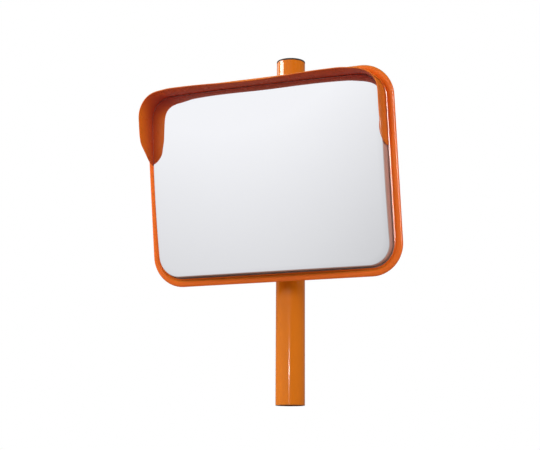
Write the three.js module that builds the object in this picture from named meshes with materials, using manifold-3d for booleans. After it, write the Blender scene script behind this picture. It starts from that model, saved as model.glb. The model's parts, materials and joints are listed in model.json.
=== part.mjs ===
// Convex traffic mirror on a round post: a framed rectangular mirror with a rain
// and glare hood, carried by a tilting bracket on a two-piece post clamp.
// Millimetres, +Z up. The origin is the centre of the post's foot and the mirror
// looks along -Y, tipped forward by REST_TILT.
import * as THREE from "three";
import { mergeVertices } from "three/addons/utils/BufferGeometryUtils.js";
import Module from "manifold-3d";

const wasm = await Module();
wasm.setup();

// ---------------------------------------------------------------- dimensions

const FIT = 0.3; // running clearance between pieces that turn or slide
const SEAT = 0.1; // gap between pieces that are pressed together
const DEG = Math.PI / 180;

// Post: structural steel tube, 76.3 x 3.2
const POST_R = 38.15;
const POST_WALL = 3.2;
const POST_TOP = 926;
const CAP_PLATE = 4.5;
const CAP_PLUG = 20;
const CAP_WALL = 2.5;
const CAP_OVERHANG = 0.35;
const CAP_EDGE = 1.2; // bevel round the top
const CAP_RECESS = 0.5; // depth of the hollow under the plate

// Mirror face: width, height and corner radius of the silvered area
const FACE_W = 632;
const FACE_H = 474;
const FACE_CORNER = 56;
const FACE_SPHERE_R = 2180;
const FACE_APEX = 48; // the middle of the face stands this far before the rim
const PANEL_T = 3;
const PANEL_EDGE_R = 2.5;
const SKIRT_DRAFT = 1.6; // the panel's skirt leans out by this much
const FLANGE_OUT = 10.5; // offset from the face's edge to the flange's edge

// Rim: rolled section round the mirror, given as offsets from the face's edge
const RIM_IN = 4.7;
const RIM_OUT = 26.3;
const RIM_BACK_OUT = 21.8; // the side wall draws in towards the back
const RIM_DEPTH = 21.5;
const RIM_WALL = 3;
const LIP_DEPTH = 9; // how far back the inner lip reaches
const LIP_FRONT = 2.4; // depth of the crest of the lip that stands beside the hood
const LIP_LEAN = 0.6; // the crest leans away from the hood by this much
const GROOVE_DEPTH = 4.6; // depth of the groove between the lip and the bead
const GROOVE_IN = 8.4; // offset of the groove's bottom
const BEAD_IN = 8; // the bead starts here
const BEAD_TOP = 6.5; // depth at which the bead is widest

// Hood: foot clamped behind the rim's lip, wall standing out of the groove
const HOOD_WALL = 2.5;
const HOOD_FOOT_T = 2;
const HOOD_FOOT_OUT = 14;
const HOOD_REACH = 85; // reach of the top before the rim
const HOOD_CHEEK_REACH = 76;
const HOOD_LEAN = 7.5; // the top's front edge stands up by this much beyond its foot
const HOOD_CHEEK_LEAN = 6; // the cheeks' front edges stand out by this much
const HOOD_SAG = 4.9; // the front edge falls by this much at the middle
const HOOD_SAG_HALF = 190;
const HOOD_DRAW = 4.2; // the front edge is drawn in by this much at its corners
const HOOD_DRAW_AT = 41; // the draw is deepest this far in from the sides
const HOOD_DRAW_HALF = 50;
const HOOD_END_Z = 57; // the cheeks end this far above the mirror's centre
const HOOD_RUNOUT = 90; // height of the quarter ellipse that ends each cheek
const HOOD_CURL = 4.5; // the cheeks' lower ends curl in by this much
const HOOD_CURL_LENGTH = 57;

// Gasket: rubber channel round the panel's flange
const GASKET_IN = 2.2;
const GASKET_OUT = 14;
const GASKET_BACK = 18;

// Back shell: pressed pan that closes the rear
const SHELL_T = 2.5;
const SHELL_EDGE_OUT = 17.8;
const SHELL_SEAT_IN = 2; // the flat seat behind the gasket ends at this offset
const SHELL_DEPTH = 42; // rear face behind the rim's front plane
const SHELL_FLAT_IN = 88; // the slope from the seat ends this far inside the edge
const SHELL_BEAD = 2.5; // depth and side slope of the bead pressed round the flat
const SHELL_BEAD_W = 8;
const RIB_W = 9;
const RIB_H = 3.5;
const RIB_LENGTH = 190;
const RIB_X = [95, 130];
const DRAIN_R = 4;
const DRAIN_X = [-150, 0, 150];
const DRAIN_UP = 14; // drain holes sit this far above the lower face edge

// Frame screws and the bosses that take them
const BOSS_OFFSET = 14.6;
const BOSS_R = 4;
const BOSS_ROOT = 0.5; // the bosses run into the bead's wall by this much
const SCREW_R = 2;
const SCREW_HEAD_R = 3.8;
const SCREW_HEAD_T = 2.6;
const SCREW_LENGTH = 13;
const SCREW_X = [-190, 0, 190];
const SCREW_Z = [-110, 110];

// Tilt: pivot bolt behind the mirror, lock bolt in a curved slot
const PIVOT_Y = -83;
const PIVOT_Z = 577;
const FRONT_TO_PIVOT = 70;
const REST_TILT = 9;
const TILT_BACK = 14; // travel from rest towards level and past it
const TILT_DOWN = 6; // travel from rest towards the road
const M12_R = 6;
const M12_HOLE = 6.5;
const LOCK_RADIUS = 40;
const LOCK_ANGLE = 30; // behind the vertical through the pivot

// Bracket on the back shell
const PLATE_T = 5;
const EAR_NOSE = 17;
const LOCK_NOSE = 15;
const BRACKET_W = 126;
const BRACKET_DOWN = 50;
const BRACKET_UP = 64;
const BRACKET_CORNER = 10;
const BACKING_T = 3;
const BACKING_MARGIN = 14;
const BASE_BOLT_X = 50;
const BASE_BOLT_DOWN = 36;
const BASE_BOLT_UP = 50;
const M8_R = 4;
const M8_HOLE = 4.5;

// Post clamp: liner, front half with the yoke, rear half
const LINER_T = 2;
const LINER_H = 124;
const LINER_SPLIT = 5;
const CLAMP_T = 5;
const CLAMP_H = 110;
const CLAMP_GAP = 4; // half the gap between the two pairs of flanges
const FLANGE_X = 80;
const CLAMP_BOLT_X = 62;
const CLAMP_BOLT_Z = 33;
const M10_R = 5;
const M10_HOLE = 5.5;
const YOKE_X = 32; // outer face of the yoke's plates
const YOKE_TOP = 55;

// Washers and nuts: across-flats and thickness for each thread
const M8 = { r: M8_R, flats: 13, head: 4.6, nut: 6.8, washer: 1.6, washerR: 8 };
const M10 = { r: M10_R, flats: 16, head: 6.4, nut: 8.4, washer: 2, washerR: 10 };
const M12 = { r: M12_R, flats: 18, head: 7.5, nut: 10.8, washer: 2.5, washerR: 12 };
const THREAD_OUT = 3; // thread standing past each nut

// Mesh steps
const ROUND = 40;
const CORNER_STEPS = 6;
const SMALL_ROUND = 12;
const SCREW_ROUND = 8;
const HOOD_EDGE_STEPS = 4;
const RUNOUT_STEPS = 9;
const SLOPE_STEPS = 4;
const ARC_STEPS = 5;

// Values that follow from the ones above
const LINER_IN_R = POST_R + FIT;
const LINER_OUT_R = LINER_IN_R + LINER_T;
const CLAMP_IN_R = LINER_OUT_R + FIT;
const CLAMP_OUT_R = CLAMP_IN_R + CLAMP_T;
const HOOD_OUT = RIM_IN - FIT;
const HOOD_IN = HOOD_OUT - HOOD_WALL;
const FOOT_FRONT = LIP_DEPTH + SEAT;
const FOOT_BACK = FOOT_FRONT + HOOD_FOOT_T;
const GASKET_FRONT = LIP_DEPTH + SEAT;
const FLANGE_FRONT = FOOT_BACK + SEAT + 1.6;
const FLANGE_BACK = FLANGE_FRONT + PANEL_T;
const SEAT_FRONT = GASKET_BACK + SEAT;
const SEAT_BACK = SEAT_FRONT + SHELL_T;
const BASE_FRONT = SHELL_DEPTH + SEAT - FRONT_TO_PIVOT; // bracket base, from the pivot
const BASE_BACK = BASE_FRONT + PLATE_T;
const EAR_IN = YOKE_X + FIT;
const EAR_OUT = EAR_IN + PLATE_T;
const LOCK_Y = LOCK_RADIUS * Math.sin(LOCK_ANGLE * DEG);
const LOCK_Z = LOCK_RADIUS * Math.cos(LOCK_ANGLE * DEG);

// ------------------------------------------------------------------ materials

function paint(name, color, roughness, metalness) {
  const material = new THREE.MeshStandardMaterial({ color, roughness, metalness });
  material.name = name;
  return material;
}

const headOrange = paint("head_orange", 0xd0551f, 0.32, 0.0);
const hoodOrange = paint("hood_orange", 0xcf5a20, 0.34, 0.0);
const shellOrange = paint("shell_orange", 0xd05a22, 0.4, 0.0);
const postOrange = paint("post_orange", 0xd67326, 0.3, 0.1);
const bracketOrange = paint("bracket_orange", 0xc9591f, 0.4, 0.2);
const mirrorSilver = paint("mirror_silver", 0xe9ebed, 0.03, 1.0);
const rubberBlack = paint("rubber_black", 0x1d1a19, 0.8, 0.0);
const linerBlack = paint("liner_black", 0x232120, 0.85, 0.0);
const capBrown = paint("cap_brown", 0x32251c, 0.55, 0.0);
const zinc = paint("zinc_steel", 0xb4b7b8, 0.38, 1.0);

// ------------------------------------------------------------- solid geometry

// A closed triangle surface as a solid that can be joined and cut. Triangles that
// shrink to a line when equal points are merged are left out.
function toSolid(geometry) {
  const bare = geometry.clone();
  bare.deleteAttribute("normal");
  bare.deleteAttribute("uv");
  const merged = mergeVertices(bare, 1e-4);
  const corners = merged.index.array;
  const kept = [];
  for (let i = 0; i < corners.length; i += 3) {
    const [a, b, c] = corners.slice(i, i + 3);
    if (a !== b && b !== c && c !== a) kept.push(a, b, c);
  }
  return new wasm.Manifold(new wasm.Mesh({
    numProp: 3,
    vertProperties: Float32Array.from(merged.attributes.position.array),
    triVerts: Uint32Array.from(kept),
  }));
}

function toGeometry(solid) {
  const mesh = solid.getMesh();
  const geometry = new THREE.BufferGeometry();
  geometry.setAttribute("position", new THREE.BufferAttribute(mesh.vertProperties, 3));
  geometry.setIndex(new THREE.BufferAttribute(mesh.triVerts, 1));
  geometry.computeVertexNormals();
  return geometry;
}

function join(first, ...others) {
  return toGeometry(others.reduce((body, other) => body.add(toSolid(other)), toSolid(first)));
}

function cut(first, ...tools) {
  return toGeometry(tools.reduce((body, tool) => body.subtract(toSolid(tool)), toSolid(first)));
}

// A closed surface whose volume comes out negative is turned inside out
function outward(geometry) {
  const at = geometry.attributes.position;
  const index = geometry.index.array;
  const [a, b, c] = [new THREE.Vector3(), new THREE.Vector3(), new THREE.Vector3()];
  let volume = 0;
  for (let i = 0; i < index.length; i += 3) {
    a.fromBufferAttribute(at, index[i]);
    b.fromBufferAttribute(at, index[i + 1]);
    c.fromBufferAttribute(at, index[i + 2]);
    volume += a.dot(b.cross(c));
  }
  if (volume < 0) {
    for (let i = 0; i < index.length; i += 3) {
      [index[i], index[i + 1]] = [index[i + 1], index[i]];
    }
  }
  geometry.computeVertexNormals();
  return geometry;
}

// Skin through equal closed loops of points. With wrap the last loop joins the
// first; otherwise both end loops are filled, laid flat by the flatten function.
function skin(loops, wrap, flatten) {
  const count = loops[0].length;
  const points = loops.flat();
  const index = [];
  const spans = wrap ? loops.length : loops.length - 1;
  for (let i = 0; i < spans; i += 1) {
    const here = i * count;
    const next = ((i + 1) % loops.length) * count;
    for (let j = 0; j < count; j += 1) {
      const k = (j + 1) % count;
      index.push(here + j, next + j, next + k, here + j, next + k, here + k);
    }
  }
  if (!wrap) {
    const last = (loops.length - 1) * count;
    const first = THREE.ShapeUtils.triangulateShape(loops[0].map(flatten), []);
    const end = THREE.ShapeUtils.triangulateShape(loops.at(-1).map(flatten), []);
    const flip = THREE.ShapeUtils.isClockWise(loops[0].map(flatten)) ? 1 : 0;
    const endFlip = THREE.ShapeUtils.isClockWise(loops.at(-1).map(flatten)) ? 1 : 0;
    for (const [p, q, r] of first) index.push(...(flip ? [p, r, q] : [p, q, r]));
    for (const [p, q, r] of end) {
      index.push(...(endFlip ? [last + p, last + q, last + r] : [last + p, last + r, last + q]));
    }
  }
  const geometry = new THREE.BufferGeometry().setFromPoints(points);
  geometry.setIndex(index);
  return outward(geometry);
}

// Shape drawn in (y, z), thickened along X from x0 to x1
function plateAcross(shape, x0, x1) {
  const options = { depth: x1 - x0, bevelEnabled: false, curveSegments: ARC_STEPS };
  const geometry = new THREE.ExtrudeGeometry(shape, options);
  const turn = new THREE.Matrix4().makeBasis(
    new THREE.Vector3(0, 1, 0),
    new THREE.Vector3(0, 0, 1),
    new THREE.Vector3(1, 0, 0),
  );
  return geometry.applyMatrix4(turn).translate(x0, 0, 0);
}

// Shape drawn in (x, z), thickened along Y from y0 to y1
function plateFacing(shape, y0, y1) {
  const options = { depth: y1 - y0, bevelEnabled: false, curveSegments: ARC_STEPS };
  return new THREE.ExtrudeGeometry(shape, options).rotateX(90 * DEG).translate(0, y1, 0);
}

// Closed (r, z) outline revolved about the Z axis
function revolved(outline, steps = ROUND) {
  const loop = [...outline, outline[0]].map(([r, z]) => new THREE.Vector2(r, z));
  const geometry = new THREE.LatheGeometry(loop, steps).rotateX(90 * DEG);
  geometry.deleteAttribute("normal");
  geometry.deleteAttribute("uv");
  return outward(mergeVertices(geometry, 1e-4));
}

function rod(radius, length, axis, steps = SMALL_ROUND) {
  const geometry = new THREE.CylinderGeometry(radius, radius, length, steps);
  if (axis === "x") geometry.rotateZ(90 * DEG);
  if (axis === "z") geometry.rotateX(90 * DEG);
  return geometry;
}

function rodAlongY(radius, x, z, y0, y1, steps = SMALL_ROUND) {
  return rod(radius, y1 - y0, "y", steps).translate(x, (y0 + y1) / 2, z);
}

function rodAlongX(radius, y, z, x0, x1, steps = SMALL_ROUND) {
  return rod(radius, x1 - x0, "x", steps).translate((x0 + x1) / 2, y, z);
}

// -------------------------------------------------------- rounded frame paths

// Points round a rectangle with rounded corners, offset outwards from the face's
// edge. It starts at the right side's lower end and runs anticlockwise from the
// front. longSteps and shortSteps split the straight sides.
function framePoints(offset, longSteps = 1, shortSteps = 1) {
  const halfW = FACE_W / 2 + offset;
  const halfH = FACE_H / 2 + offset;
  const radius = Math.max(FACE_CORNER + offset, 20);
  const corners = [
    [halfW - radius, halfH - radius, 0, shortSteps],
    [radius - halfW, halfH - radius, 90, longSteps],
    [radius - halfW, radius - halfH, 180, shortSteps],
    [halfW - radius, radius - halfH, 270, longSteps],
  ];
  const arcs = corners.map(([x, z, from]) => {
    const arc = [];
    for (let i = 0; i <= CORNER_STEPS; i += 1) {
      const angle = (from + (90 * i) / CORNER_STEPS) * DEG;
      arc.push(new THREE.Vector2(x + radius * Math.cos(angle), z + radius * Math.sin(angle)));
    }
    return arc;
  });
  const points = [];
  corners.forEach(([, , , steps], i) => {
    const before = arcs[(i + 3) % 4].at(-1);
    for (let k = 1; k < steps; k += 1) points.push(before.clone().lerp(arcs[i][0], k / steps));
    points.push(...arcs[i]);
  });
  return points;
}

// One loop of the frame at an offset, at a depth or at depth(x, z)
function frameLoop(offset, depth, longSteps = 1, shortSteps = 1) {
  return framePoints(offset, longSteps, shortSteps).map(({ x, y: z }) => {
    const y = typeof depth === "function" ? depth(x, z) : depth;
    return new THREE.Vector3(x, y, z);
  });
}

// Closed ring whose cross-section is a list of [offset, depth]
function frameRing(section) {
  return skin(section.map(([offset, depth]) => frameLoop(offset, depth)), true);
}

const facePlan = (point) => new THREE.Vector2(point.x, point.z);

// The ten places round the frame that hold a boss and a screw
function screwPlaces() {
  const places = [];
  for (const x of SCREW_X) places.push([x, FACE_H / 2 + BOSS_OFFSET]);
  for (const z of SCREW_Z) places.push([FACE_W / 2 + BOSS_OFFSET, z]);
  for (const x of SCREW_X) places.push([x, -FACE_H / 2 - BOSS_OFFSET]);
  for (const z of SCREW_Z) places.push([-FACE_W / 2 - BOSS_OFFSET, z]);
  return places;
}

function bossPockets() {
  return screwPlaces().map(([x, z]) => rodAlongY(BOSS_R + FIT, x, z, 0, GASKET_BACK + 1, SCREW_ROUND));
}

// ------------------------------------------------------------ head: the mirror

// Depth of the spherical face; a smaller sphere gives the panel's rear side
function sphereDepth(inset) {
  const radius = FACE_SPHERE_R - inset;
  return (x, z) => FACE_SPHERE_R - FACE_APEX - Math.sqrt(radius * radius - x * x - z * z);
}

// Thin convex shell: spherical face, rounded edge, skirt back to a flat flange
function mirrorPanel() {
  const long = 7;
  const short = 5;
  const face = sphereDepth(0);
  const rear = sphereDepth(PANEL_T);
  const scaled = (share, depth) =>
    framePoints(-PANEL_EDGE_R, long, short).map(({ x, y: z }) => {
      return new THREE.Vector3(x * share, depth(x * share, z * share), z * share);
    });
  const shares = [0.04, 0.2, 0.4, 0.6, 0.8, 1];
  const loops = shares.map((share) => scaled(share, face));
  const edgeSteps = 3;
  for (let i = 1; i <= edgeSteps; i += 1) {
    const angle = (90 * i * DEG) / edgeSteps;
    const out = PANEL_EDGE_R * (Math.sin(angle) - 1);
    const back = PANEL_EDGE_R * (1 - Math.cos(angle));
    loops.push(frameLoop(out, (x, z) => face(x, z) + back, long, short));
  }
  loops.push(frameLoop(SKIRT_DRAFT, FLANGE_FRONT - 1, long, short));
  loops.push(frameLoop(SKIRT_DRAFT + 1, FLANGE_FRONT, long, short));
  loops.push(frameLoop(FLANGE_OUT, FLANGE_FRONT, long, short));
  loops.push(frameLoop(FLANGE_OUT, FLANGE_BACK, long, short));
  loops.push(frameLoop(SKIRT_DRAFT - PANEL_T, FLANGE_BACK, long, short));
  loops.push(frameLoop(-PANEL_T, (x, z) => rear(x, z) + PANEL_EDGE_R, long, short));
  for (const share of shares.toReversed()) loops.push(scaled(share * 0.985, rear));
  return skin(loops, false, facePlan);
}

// Half ellipse over the bead from the lip's side to the outer side, as [offset,
// depth]; inset gives the inner face of the wall
function beadArc(inset, steps) {
  const middle = (BEAD_IN + RIM_OUT) / 2;
  const across = (RIM_OUT - BEAD_IN) / 2 - inset;
  const arc = [];
  for (let i = 0; i <= steps; i += 1) {
    const angle = Math.PI * (1 - i / steps);
    const depth = BEAD_TOP - (BEAD_TOP - inset) * Math.sin(angle);
    arc.push([middle + across * Math.cos(angle), depth]);
  }
  return arc;
}

// Inner lip, groove and rolled bead, with ten screw bosses under the bead
function rimFrame() {
  const section = [
    [RIM_IN, LIP_DEPTH],
    [RIM_IN, BEAD_TOP],
    [RIM_IN + LIP_LEAN, LIP_FRONT],
    [GROOVE_IN, GROOVE_DEPTH],
    ...beadArc(0, 8).slice(1),
    [RIM_BACK_OUT, RIM_DEPTH],
    [RIM_BACK_OUT - RIM_WALL, RIM_DEPTH],
    ...beadArc(RIM_WALL, 4).toReversed(),
    [RIM_IN + RIM_WALL, LIP_DEPTH],
  ];
  const root = RIM_WALL - BOSS_ROOT;
  const bottom = SEAT_BACK - SCREW_LENGTH - 1;
  const bosses = screwPlaces().map(([x, z]) => rodAlongY(BOSS_R, x, z, root, GASKET_BACK, SCREW_ROUND));
  const bores = screwPlaces().map(([x, z]) =>
    rodAlongY(SCREW_R + FIT, x, z, bottom, RIM_DEPTH, SCREW_ROUND));
  return cut(join(frameRing(section), ...bosses), ...bores);
}

// Rubber channel that wraps the panel's flange, open towards the mirror
function gasketRing(footTool) {
  const section = [
    [GASKET_IN, GASKET_FRONT],
    [GASKET_OUT, GASKET_FRONT],
    [GASKET_OUT, GASKET_BACK],
    [GASKET_IN, GASKET_BACK],
    [GASKET_IN, FLANGE_BACK + SEAT],
    [FLANGE_OUT + SEAT, FLANGE_BACK + SEAT],
    [FLANGE_OUT + SEAT, FLANGE_FRONT - SEAT],
    [GASKET_IN, FLANGE_FRONT - 1 - SEAT],
  ];
  return cut(frameRing(section), footTool, ...bossPockets());
}

// -------------------------------------------------------------- head: the hood

// Stations along the hood's foot, from the left cheek's end over the top to the
// right one: plan position, outward direction and how far the wall stands out.
function hoodStations() {
  const radius = FACE_CORNER;
  const cx = FACE_W / 2 - radius;
  const cz = FACE_H / 2 - radius;
  const right = [];
  const topSteps = 10;
  for (let i = 0; i <= topSteps; i += 1) {
    right.push({ x: (cx * i) / topSteps, z: FACE_H / 2, nx: 0, nz: 1 });
  }
  for (let i = 1; i <= CORNER_STEPS; i += 1) {
    const angle = (90 - (90 * i) / CORNER_STEPS) * DEG;
    const [nx, nz] = [Math.cos(angle), Math.sin(angle)];
    right.push({ x: cx + radius * nx, z: cz + radius * nz, nx, nz });
  }
  right.push({ x: FACE_W / 2, z: (cz + HOOD_END_Z + HOOD_RUNOUT) / 2, nx: 1, nz: 0 });
  for (let i = 0; i <= RUNOUT_STEPS; i += 1) {
    const angle = 90 * DEG * (1 - i / RUNOUT_STEPS);
    const z = HOOD_END_Z + HOOD_RUNOUT * (1 - Math.cos(angle));
    right.push({ x: FACE_W / 2, z, nx: 1, nz: 0 });
  }
  const left = right.slice(1).map((s) => ({ ...s, x: -s.x, nx: -s.nx })).toReversed();
  return [...left, ...right];
}

// Quarter ellipse that takes the wall down to nothing at each cheek's lower end
function runout(z) {
  const below = 1 - THREE.MathUtils.clamp((z - HOOD_END_Z) / HOOD_RUNOUT, 0, 1);
  return Math.sqrt(1 - below ** 2);
}

// How far the wall reaches before the rim: round the corners the top's reach turns
// into the cheeks'
function hoodReach({ z, nx, nz }) {
  return (HOOD_REACH * nz ** 2 + HOOD_CHEEK_REACH * nx ** 2) * runout(z);
}

// Rounded hump that is 1 at 0 and 0 from 1 on
function hump(t) {
  return Math.cos(90 * DEG * Math.min(Math.abs(t), 1)) ** 2;
}

// How far the front edge stands out beyond the foot: the top sags at the middle,
// its corners are drawn in and the lower ends of the cheeks curl in
function hoodLean({ x, z, nx, nz }) {
  const top = HOOD_LEAN - HOOD_SAG * hump(x / HOOD_SAG_HALF);
  const up = THREE.MathUtils.clamp((z - HOOD_END_Z) / HOOD_CURL_LENGTH, 0, 1);
  const cheek = HOOD_CHEEK_LEAN * runout(z) - HOOD_CURL * Math.sin(Math.PI * up);
  const draw = HOOD_DRAW * hump((FACE_W / 2 - Math.abs(x) - HOOD_DRAW_AT) / HOOD_DRAW_HALF);
  return top * nz ** 2 + cheek * nx ** 2 - draw * runout(z);
}

// Cross-section at a station as [offset, depth]: foot, wall and rounded edge
function hoodSection(station) {
  const reach = hoodReach(station);
  const half = HOOD_WALL / 2;
  const middle = HOOD_OUT + hoodLean(station) - half;
  const edge = [];
  for (let i = 0; i <= HOOD_EDGE_STEPS; i += 1) {
    const angle = (Math.PI * i) / HOOD_EDGE_STEPS;
    edge.push([middle + half * Math.cos(angle), half * (1 - Math.sin(angle)) - reach]);
  }
  return [
    [HOOD_IN, FOOT_BACK],
    [HOOD_FOOT_OUT, FOOT_BACK],
    [HOOD_FOOT_OUT, FOOT_FRONT],
    [HOOD_OUT, FOOT_FRONT],
    ...edge,
    [HOOD_IN, FOOT_FRONT],
  ];
}

function sweepAlong(stations, sectionAt) {
  const sections = stations.map(sectionAt);
  const loops = stations.map(({ x, z, nx, nz }, i) =>
    sections[i].map(([offset, depth]) => {
      return new THREE.Vector3(x + nx * offset, depth, z + nz * offset);
    }));
  // The end loops lie square to the cheeks, so they flatten to (x, y)
  return skin(loops, false, (point) => new THREE.Vector2(point.x, point.y));
}

function hoodShell() {
  return cut(sweepAlong(hoodStations(), hoodSection), ...bossPockets());
}

// Room for the hood's foot, cut from the gasket
function hoodFootTool() {
  const section = () => [
    [HOOD_IN - FIT, FOOT_BACK + SEAT],
    [GASKET_OUT + 1, FOOT_BACK + SEAT],
    [GASKET_OUT + 1, FOOT_FRONT - 1],
    [HOOD_IN - FIT, FOOT_FRONT - 1],
  ];
  const stations = hoodStations();
  const ends = [stations[0], stations.at(-1)];
  for (const end of ends) end.z -= FIT;
  return sweepAlong(stations, section);
}

// -------------------------------------------------------- head: the back shell

function stadium(width, length) {
  const r = width / 2;
  const run = length / 2 - r;
  const shape = new THREE.Shape();
  shape.absarc(0, run, r, 0, Math.PI, false);
  shape.absarc(0, -run, r, Math.PI, 2 * Math.PI, false);
  shape.closePath();
  return shape;
}

// Pressed rib: a stadium whose raised face is chamfered
function pressedRib(x, z, length) {
  const chamfer = 1.6;
  const shape = stadium(RIB_W - 2 * chamfer, length - 2 * chamfer);
  const options = {
    depth: RIB_H,
    curveSegments: 3,
    bevelEnabled: true,
    bevelThickness: chamfer,
    bevelSize: chamfer,
    bevelSegments: 1,
  };
  const rib = new THREE.ExtrudeGeometry(shape, options);
  return rib.rotateX(90 * DEG).translate(x, SHELL_DEPTH + RIB_H - chamfer, z);
}

// Half of the pan's section as [offset, depth] from its edge to its flat middle:
// flange, domed slope, flat and a pressed bead. drop gives the inner face.
function panSide(drop) {
  const side = [
    [SHELL_EDGE_OUT, SEAT_BACK - drop],
    [SHELL_SEAT_IN, SEAT_BACK - drop],
  ];
  for (let i = 1; i <= SLOPE_STEPS; i += 1) {
    const angle = (i / SLOPE_STEPS) * 90 * DEG;
    const inward = (i / SLOPE_STEPS) * (SHELL_SEAT_IN + SHELL_FLAT_IN);
    const rise = (SHELL_DEPTH - SEAT_BACK) * Math.sin(angle);
    side.push([SHELL_SEAT_IN - inward, SEAT_BACK + rise - drop]);
  }
  const start = -SHELL_FLAT_IN - SHELL_BEAD_W;
  const floor = SHELL_DEPTH - drop;
  side.push(
    [start, floor],
    [start - SHELL_BEAD, floor - SHELL_BEAD],
    [start - SHELL_BEAD - SHELL_BEAD_W, floor - SHELL_BEAD],
    [start - 2 * SHELL_BEAD - SHELL_BEAD_W, floor],
  );
  return side;
}

function backShell() {
  const back = panSide(0).map(([offset, depth]) => frameLoop(offset, depth));
  const front = panSide(SHELL_T).map(([offset, depth]) => frameLoop(offset, depth));
  const pan = skin([...back.toReversed(), ...front], false, facePlan);
  const ribs = [-1, 1].flatMap((side) =>
    RIB_X.map((x) => pressedRib(side * x, 0, RIB_LENGTH)));
  const drains = DRAIN_X.map((x) =>
    rodAlongY(DRAIN_R, x, DRAIN_UP - FACE_H / 2, 0, SHELL_DEPTH));
  const screws = screwPlaces().map(([x, z]) =>
    rodAlongY(SCREW_R + FIT, x, z, GASKET_BACK - 2, SEAT_BACK + 1, SCREW_ROUND));
  const bolts = basePlaces().map(([x, z]) =>
    rodAlongY(M8_HOLE, x, z, 0, 2 * SHELL_DEPTH));
  return cut(join(pan, ...ribs), ...drains, ...screws, ...bolts);
}

// ------------------------------------------------------ head: bracket and bolts

// Four bolts that hold the bracket: plan positions from the mirror's centre
function basePlaces() {
  return [-BASE_BOLT_X, BASE_BOLT_X].flatMap((x) => [
    [x, -BASE_BOLT_DOWN],
    [x, BASE_BOLT_UP],
  ]);
}

function roundedPlate(x0, x1, z0, z1, r) {
  const shape = new THREE.Shape();
  shape.moveTo(x0 + r, z0);
  shape.absarc(x1 - r, z0 + r, r, -Math.PI / 2, 0, false);
  shape.absarc(x1 - r, z1 - r, r, 0, Math.PI / 2, false);
  shape.absarc(x0 + r, z1 - r, r, Math.PI / 2, Math.PI, false);
  shape.absarc(x0 + r, z0 + r, r, Math.PI, 1.5 * Math.PI, false);
  shape.closePath();
  return shape;
}

function addHole(shape, x, y, r) {
  shape.holes.push(new THREE.Path().absarc(x, y, r, 0, 2 * Math.PI, true));
}

function backingPlate() {
  const half = BRACKET_W / 2 + BACKING_MARGIN;
  const shape = roundedPlate(
    -half,
    half,
    -BRACKET_DOWN - BACKING_MARGIN / 2,
    BRACKET_UP + BACKING_MARGIN / 2,
    BRACKET_CORNER,
  );
  for (const [x, z] of basePlaces()) addHole(shape, x, z, M8_HOLE);
  const back = SHELL_DEPTH - SHELL_T - SEAT;
  return plateFacing(shape, back - BACKING_T, back);
}

// Ear outline in (y, z) from the pivot: round the pivot, then round the lock bolt
function earShape() {
  const shape = new THREE.Shape();
  const front = BASE_FRONT + 1;
  shape.moveTo(front, -BRACKET_DOWN + BRACKET_CORNER);
  shape.lineTo(BASE_BACK + 4, -BRACKET_DOWN + BRACKET_CORNER);
  shape.absarc(0, 0, EAR_NOSE, -60 * DEG, -5 * DEG, false);
  shape.absarc(LOCK_Y, LOCK_Z, LOCK_NOSE, -15 * DEG, 95 * DEG, false);
  shape.lineTo(BASE_BACK + 4, BRACKET_UP - BRACKET_CORNER);
  shape.lineTo(front, BRACKET_UP - BRACKET_CORNER);
  shape.closePath();
  addHole(shape, 0, 0, M12_HOLE);
  addHole(shape, LOCK_Y, LOCK_Z, M12_HOLE);
  return shape;
}

// Welded bracket: base plate on the back shell and two ears towards the post
function tiltBracket() {
  const base = roundedPlate(
    -BRACKET_W / 2,
    BRACKET_W / 2,
    -BRACKET_DOWN,
    BRACKET_UP,
    BRACKET_CORNER,
  );
  for (const [x, z] of basePlaces()) addHole(base, x, z, M8_HOLE);
  return join(
    plateFacing(base, BASE_FRONT, BASE_BACK),
    plateAcross(earShape(), EAR_IN, EAR_OUT),
    plateAcross(earShape(), -EAR_OUT, -EAR_IN),
  );
}

// ------------------------------------------------------------ clamp on the post

// Half of the two-piece clamp, drawn from above: half ring with two flanges
function clampHalf() {
  const outerY = CLAMP_GAP + CLAMP_T;
  const outerX = Math.sqrt(CLAMP_OUT_R ** 2 - outerY ** 2);
  const innerX = Math.sqrt(CLAMP_IN_R ** 2 - CLAMP_GAP ** 2);
  const outerAngle = Math.atan2(outerY, outerX);
  const innerAngle = Math.atan2(CLAMP_GAP, innerX);
  const shape = new THREE.Shape();
  shape.moveTo(-FLANGE_X, -CLAMP_GAP);
  shape.lineTo(-FLANGE_X, -outerY);
  shape.absarc(0, 0, CLAMP_OUT_R, Math.PI + outerAngle, 2 * Math.PI - outerAngle, false);
  shape.lineTo(FLANGE_X, -outerY);
  shape.lineTo(FLANGE_X, -CLAMP_GAP);
  shape.absarc(0, 0, CLAMP_IN_R, 2 * Math.PI - innerAngle, Math.PI + innerAngle, true);
  shape.closePath();
  const options = { depth: CLAMP_H, bevelEnabled: false, curveSegments: ROUND / 2 };
  const half = new THREE.ExtrudeGeometry(shape, options).translate(0, 0, -CLAMP_H / 2);
  const bores = clampPlaces().map(([x, z]) => rodAlongY(M10_HOLE, x, z, -20, 20));
  return cut(half, ...bores);
}

function clampPlaces() {
  return [-CLAMP_BOLT_X, CLAMP_BOLT_X].flatMap((x) => [
    [x, -CLAMP_BOLT_Z],
    [x, CLAMP_BOLT_Z],
  ]);
}

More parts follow.
